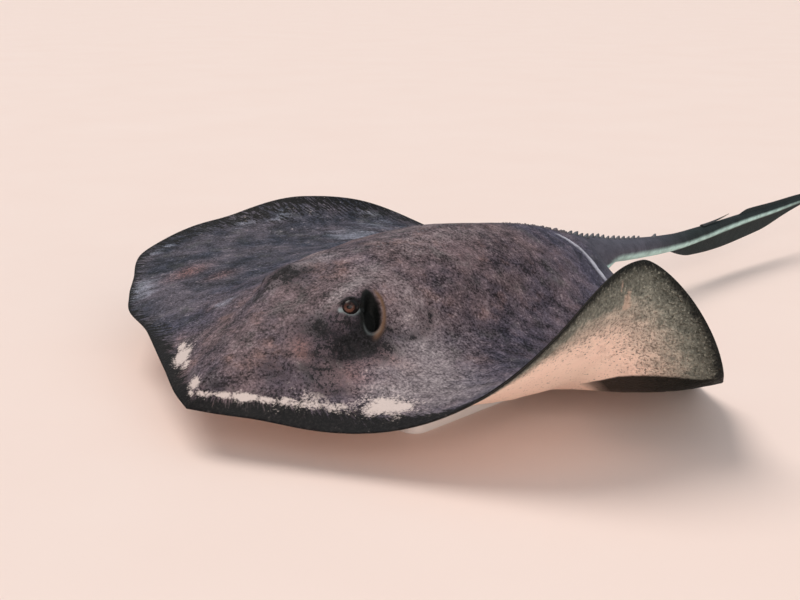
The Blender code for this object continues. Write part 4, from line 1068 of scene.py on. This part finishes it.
def scatter(name, inputs):
    """A node group that sets one piece on every point: Points, Piece, Size, Uneven, Seed, Material."""
    group = bpy.data.node_groups.new(name, "GeometryNodeTree")
    group.interface.new_socket("Points", in_out="INPUT", socket_type="NodeSocketGeometry")
    for label, kind in inputs:
        group.interface.new_socket(label, in_out="INPUT", socket_type=kind)
    group.interface.new_socket("Pieces", in_out="OUTPUT", socket_type="NodeSocketGeometry")
    given = add(group, "NodeGroupInput").outputs
    points = add(group, "GeometryNodeMeshToPoints", {"Mesh": given["Points"]}).outputs[0]
    piece = add(group, "GeometryNodeObjectInfo", {"Object": given["Piece"]}).outputs["Geometry"]
    outward = add(group, "GeometryNodeInputNamedAttribute", {"Name": "outward"}, data_type="FLOAT_VECTOR")
    height = add(group, "GeometryNodeInputNamedAttribute", {"Name": "height"}, data_type="FLOAT")
    upright = add(group, "FunctionNodeAlignRotationToVector", {"Vector": outward.outputs[0]}, axis="Z")
    least = add(group, "ShaderNodeMath", {0: 1.0, 1: given["Uneven"]}, operation="SUBTRACT").outputs[0]
    most = add(group, "ShaderNodeMath", {0: 1.0, 1: given["Uneven"]}, operation="ADD").outputs[0]
    chance = add(group, "FunctionNodeRandomValue", data_type="FLOAT")
    group.links.new(least, chance.inputs[2])
    group.links.new(most, chance.inputs[3])
    group.links.new(given["Seed"], chance.inputs["Seed"])
    size = add(group, "ShaderNodeMath", {0: height.outputs[0], 1: chance.outputs[1]},
               operation="MULTIPLY").outputs[0]
    size = add(group, "ShaderNodeMath", {0: size, 1: given["Size"]}, operation="MULTIPLY").outputs[0]
    set_in = add(group, "GeometryNodeInstanceOnPoints", {
        "Points": points, "Instance": piece, "Rotation": upright.outputs[0], "Scale": size}).outputs[0]
    solid = add(group, "GeometryNodeRealizeInstances", {"Geometry": set_in}).outputs[0]
    painted = add(group, "GeometryNodeSetMaterial", {"Geometry": solid, "Material": given["Material"]})
    add(group, "NodeGroupOutput", {"Pieces": painted.outputs[0]})
    return group


SCATTER_INPUTS = (("Piece", "NodeSocketObject"), ("Size", "NodeSocketFloat"), ("Uneven", "NodeSocketFloat"),
                  ("Seed", "NodeSocketInt"), ("Material", "NodeSocketMaterial"))


def scattered(name, row, settings):
    """A plain mesh of the pieces that a scatter group sets along a row of places, each with its
    point, its direction out of the surface, and its height."""
    at, outward, heights = zip(*row)
    seeds = bpy.data.meshes.new(name + "_places")
    seeds.from_pydata([tuple(p) for p in at], [], [])
    set_marks(seeds, {"outward": outward, "height": heights})
    holder = bpy.data.objects.new(name + "_places", seeds)
    bpy.context.scene.collection.objects.link(holder)
    group = scatter(name, SCATTER_INPUTS)
    modifier = holder.modifiers.new(name, "NODES")
    modifier.node_group = group
    for item in group.interface.items_tree:
        if item.in_out == "INPUT" and item.name in settings:
            modifier[item.identifier] = settings[item.name]
    evaluated = holder.evaluated_get(bpy.context.evaluated_depsgraph_get())
    mesh = bpy.data.meshes.new_from_object(evaluated)
    holder.modifiers.remove(modifier)
    bpy.data.objects.remove(holder)
    made = bpy.data.objects.new(name, mesh)
    bpy.context.scene.collection.objects.link(made)
    return made


def on_back(side, span, y):
    """Point of the back and the direction out of it, in the model's frame."""
    spans, ys = span + np.array([0.0, 0.002, 0.0]), y + np.array([0.0, 0.0, 0.002])
    zero = np.zeros(3)
    found = placed(disc_point(side, spans, ys, spans / WING_REACH, zero + 0.5, zero + 0.2, True))
    out = np.cross(found[1] - found[0], found[2] - found[0]) * side
    return found[0], out / np.linalg.norm(out)


thorns, tubercles = [], []
for y in THORN_Y:
    at, out = on_back(1, 0.0, min(y, ROOT_REAR))
    if y > ROOT_REAR:
        at, out = placed(tail_section(y, np.array([math.pi / 2])))[0], np.array(ATTITUDE)[:3, 2]
    thorns.append((at, out, THORN_TALL))
unruly = np.random.default_rng(11)
for y in np.arange(0.300, 0.728, 0.0092):
    for aside in (-0.0046, 0.0, 0.0046):
        at, out = on_back(1 if aside >= 0 else -1, abs(aside + unruly.normal(0, 0.0012)),
                          y + unruly.normal(0, 0.0020))
        swell = (0.8 if aside else 1.3) * (1 + 0.9 * float(ease(0.50, 0.72, y)))
        tubercles.append((at, out, TUBERCLE_TALL * swell))
for side in (1, -1):
    tubercles += [(*on_back(side, span_there, y), TUBERCLE_TALL) for span_there, y in SHOULDER_ROW]


def clouded(name, sizes, detail, one, other, roughness):
    """A material that wanders between two colours in clouds with these sizes in mm along its axes."""
    made, tree, shader = new_material(name)
    place = add(tree, "ShaderNodeTexCoord").outputs["Object"]
    place = add(tree, "ShaderNodeMapping", {"Vector": place, "Scale": [per_mm(size) for size in sizes]})
    cloud = add(tree, "ShaderNodeTexNoise", {"Vector": place.outputs[0], "Scale": 1.0,
                                             "Detail": detail}).outputs["Fac"]
    colour = add(tree, "ShaderNodeMix", {FACTOR: cloud, A: linear(one), B: linear(other)},
                 data_type="RGBA").outputs[MIXED]
    tree.links.new(colour, shader.inputs["Base Color"])
    shader.inputs["Roughness"].default_value = roughness
    return made, tree, shader, cloud


HOOK = ((0.05, 1.00), (0.22, 0.93), (0.42, 0.70), (0.62, 0.35), (0.86, 0.05), (0.90, -0.25))
KNOB = ((0.25, 1.00), (0.62, 0.86), (0.95, 0.50), (1.20, 0.10), (1.25, -0.30))
# Enamel of skin teeth: smooth and a little shiny, dark on the thorns, like the hide on the tubercles
enamel = clouded("dark enamel", (4, 4, 4), 3.0, "#202427", "#5c5f66", 0.42)[0]
horn = clouded("skin-coloured enamel", (5, 5, 5), 3.0, "#37343a", "#6f686c", 0.50)[0]
for name, outline_points, lean, row, uneven, paint in (("thorns", HOOK, 0.55, thorns, 0.22, enamel),
                                                       ("tubercles", KNOB, 0.20, tubercles, 0.35, horn)):
    piece = piece_of(name + "_one", *turned(outline_points, 8, lean), paint)
    made = scattered(name, row, {"Piece": piece, "Size": 1.0, "Uneven": uneven, "Seed": 5,
                                 "Material": paint})
    bpy.data.objects.remove(piece)
    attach(made, "root")


# ---------------------------------------------------------------------------- the stand
# A flat steel plate with eased edges under white powder coat, and two brushed steel rods screwed to
# it. Each rod stands in a turned foot with three screws and ends in a shallow cup under the belly.
BASE_X, BASE_Y, BASE_Z, BASE_CORNER, BASE_EASE = 0.320, 0.360, 0.012, 0.020, 0.0016
CORNER_POINTS = 12
ROD_RADIUS, ROD_DEPTH, ROD_YS = 0.008, 0.018, (-0.070, 0.130)
FOOT_RADIUS, FOOT_TALL, SCREW_RING, SCREW_RADIUS = 0.0230, 0.0060, 0.0165, 0.0028
CUP_RADIUS, CUP_TALL = 0.0150, 0.0090

# faint orange peel in the powder coat, and fine lines round the brushed rods
coated, tree, shader, peel = clouded("white powder coat", (0.9, 0.9, 0.9), 2.0, "#d9d2cd", "#e2dcd8", 0.55)
peel = add(tree, "ShaderNodeBump", {"Height": peel, "Strength": 0.35, "Distance": 0.00015})
tree.links.new(peel.outputs[0], shader.inputs["Normal"])
brushed, tree, shader, lines = clouded("brushed steel", (12, 12, 0.25), 3.0, "#a3a4a6", "#c6c7c9", 0.34)
lines = add(tree, "ShaderNodeBump", {"Height": lines, "Strength": 0.3, "Distance": 0.0001})
tree.links.new(lines.outputs[0], shader.inputs["Normal"])
shader.inputs["Metallic"].default_value = 1.0

quarter, share = np.divmod(np.arange(4 * CORNER_POINTS), CORNER_POINTS)
corner = math.pi / 2 * (quarter + share / (CORNER_POINTS - 1))
towards_x, towards_y = np.array([(1, 1), (-1, 1), (-1, -1), (1, -1)])[quarter].T
inset, height = np.array(((BASE_EASE * 0.5, 0.0), (0.0, BASE_EASE * 0.5), (0.0, BASE_Z - BASE_EASE),
                          (BASE_EASE * 0.3, BASE_Z - BASE_EASE * 0.3), (BASE_EASE, BASE_Z))).T[..., None]
plate_points = np.stack(np.broadcast_arrays(
    towards_x * (BASE_X / 2 - BASE_CORNER) + (BASE_CORNER - inset) * np.cos(corner),
    towards_y * (BASE_Y / 2 - BASE_CORNER) + (BASE_CORNER - inset) * np.sin(corner), height), -1)
plate = piece_of("plate", plate_points.reshape(-1, 3), capped(len(inset), len(corner)), coated, sharp=50)
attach(plate, "root")
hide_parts("stand_base")


def belly_height(y):
    """Height of the belly above the floor over one place on the midline."""
    stations = np.linspace(0.2, 0.7, 400)
    zero = np.zeros_like(stations)
    belly = placed(disc_point(1, zero, stations, zero, zero + 0.5, zero + 0.2, False))
    return float(np.interp(y, belly[:, 1], belly[:, 2]))


screw_places = []
for name, y in zip(("stand_rod_front", "stand_rod_rear"), ROD_YS):
    belly, low = belly_height(y), BASE_Z + 0.0003
    profile = ((ROD_RADIUS * 0.86, belly + ROD_DEPTH), (ROD_RADIUS, belly + ROD_DEPTH - 0.0012),
               (ROD_RADIUS, belly + 0.0015), (CUP_RADIUS - 0.0010, belly + 0.0015),
               (CUP_RADIUS, belly + 0.0005), (CUP_RADIUS, belly - 0.0015),
               (CUP_RADIUS - 0.0015, belly - CUP_TALL * 0.45),
               (ROD_RADIUS + 0.0020, belly - CUP_TALL * 0.9), (ROD_RADIUS, belly - CUP_TALL),
               (ROD_RADIUS, low + FOOT_TALL + 0.0060),
               (ROD_RADIUS + 0.0012, low + FOOT_TALL + 0.0020), (ROD_RADIUS + 0.0040, low + FOOT_TALL),
               (FOOT_RADIUS - 0.0015, low + FOOT_TALL - 0.0006), (FOOT_RADIUS, low + FOOT_TALL - 0.0022),
               (FOOT_RADIUS, low))
    rod_points, rod_faces = turned(profile, 48)
    rod = piece_of(name + "_turned", rod_points + (0, y, 0), rod_faces, brushed, sharp=40)
    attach(rod, "root")
    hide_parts(name)
    for k in range(3):
        about = 2 * math.pi * (k + 0.25) / 3
        at = (SCREW_RING * math.cos(about), y + SCREW_RING * math.sin(about), low + FOOT_TALL)
        screw_places.append((at, (0.0, 0.0, 1.0), 1.0))

# screw heads: a low dome with a round socket
DOME = ((0.42, 0.10), (0.42, 0.42), (0.62, 0.50), (0.86, 0.38), (1.0, 0.12), (1.0, -0.30))
screw = piece_of("screw", *turned(DOME, 12), brushed, sharp=35)
screws = scattered("screws", screw_places, {"Piece": screw, "Size": SCREW_RADIUS, "Uneven": 0.0, "Seed": 1,
                                            "Material": brushed})
bpy.data.objects.remove(screw)
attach(screws, "root")


# ---------------------------------------------------------------------------- the floor and the light
# A plain pale studio floor under one broad soft light, high and a little to the animal's right,
# a still broader one low on its left, and cool light from all round, brightest overhead.
floor_mesh = bpy.data.meshes.new("floor")
FLOOR = 30.0
floor_mesh.from_pydata([(-FLOOR, -FLOOR, 0), (FLOOR, -FLOOR, 0), (FLOOR, FLOOR, 0), (-FLOOR, FLOOR, 0)],
                       [], [(0, 1, 2, 3)])
floor = bpy.data.objects.new("floor", floor_mesh)
bpy.context.scene.collection.objects.link(floor)
paper = clouded("pale studio paper", (300, 300, 300), 3.0, "#e6d3ca", "#e9d9d1", 0.9)[0]
floor_mesh.materials.append(paper)

LIGHTS = (("key", (-0.48, -0.10, 0.87), 2.05, 38, "#fff4ec"),
          ("low fill", (0.86, -0.50, 0.10), 2.80, 75, "#fff2ea"))
for name, source, strength, wide, colour in LIGHTS:
    lamp = bpy.data.lights.new(name, "SUN")
    lamp.energy, lamp.angle, lamp.color = strength, math.radians(wide), linear(colour)[:3]
    holder = bpy.data.objects.new(name, lamp)
    holder.rotation_euler = Vector(source).to_track_quat("Z", "Y").to_euler()
    bpy.context.scene.collection.objects.link(holder)

world = bpy.data.worlds.new("studio")
world.use_nodes = True
tree = world.node_tree
aim = add(tree, "ShaderNodeTexCoord").outputs["Generated"]
aim = add(tree, "ShaderNodeSeparateXYZ", {"Vector": aim}).outputs["Z"]
overhead = add(tree, "ShaderNodeMapRange", {"Value": aim, "From Min": 0.0, "From Max": 0.60}).outputs[0]
air = add(tree, "ShaderNodeMix", {FACTOR: overhead, A: linear("#7f8b95"), B: linear("#e6eef5")},
          data_type="RGBA").outputs[MIXED]
tree.links.new(air, tree.nodes["Background"].inputs["Color"])
tree.nodes["Background"].inputs["Strength"].default_value = 0.54
bpy.context.scene.world = world
bpy.context.scene.view_settings.view_transform = "Standard"
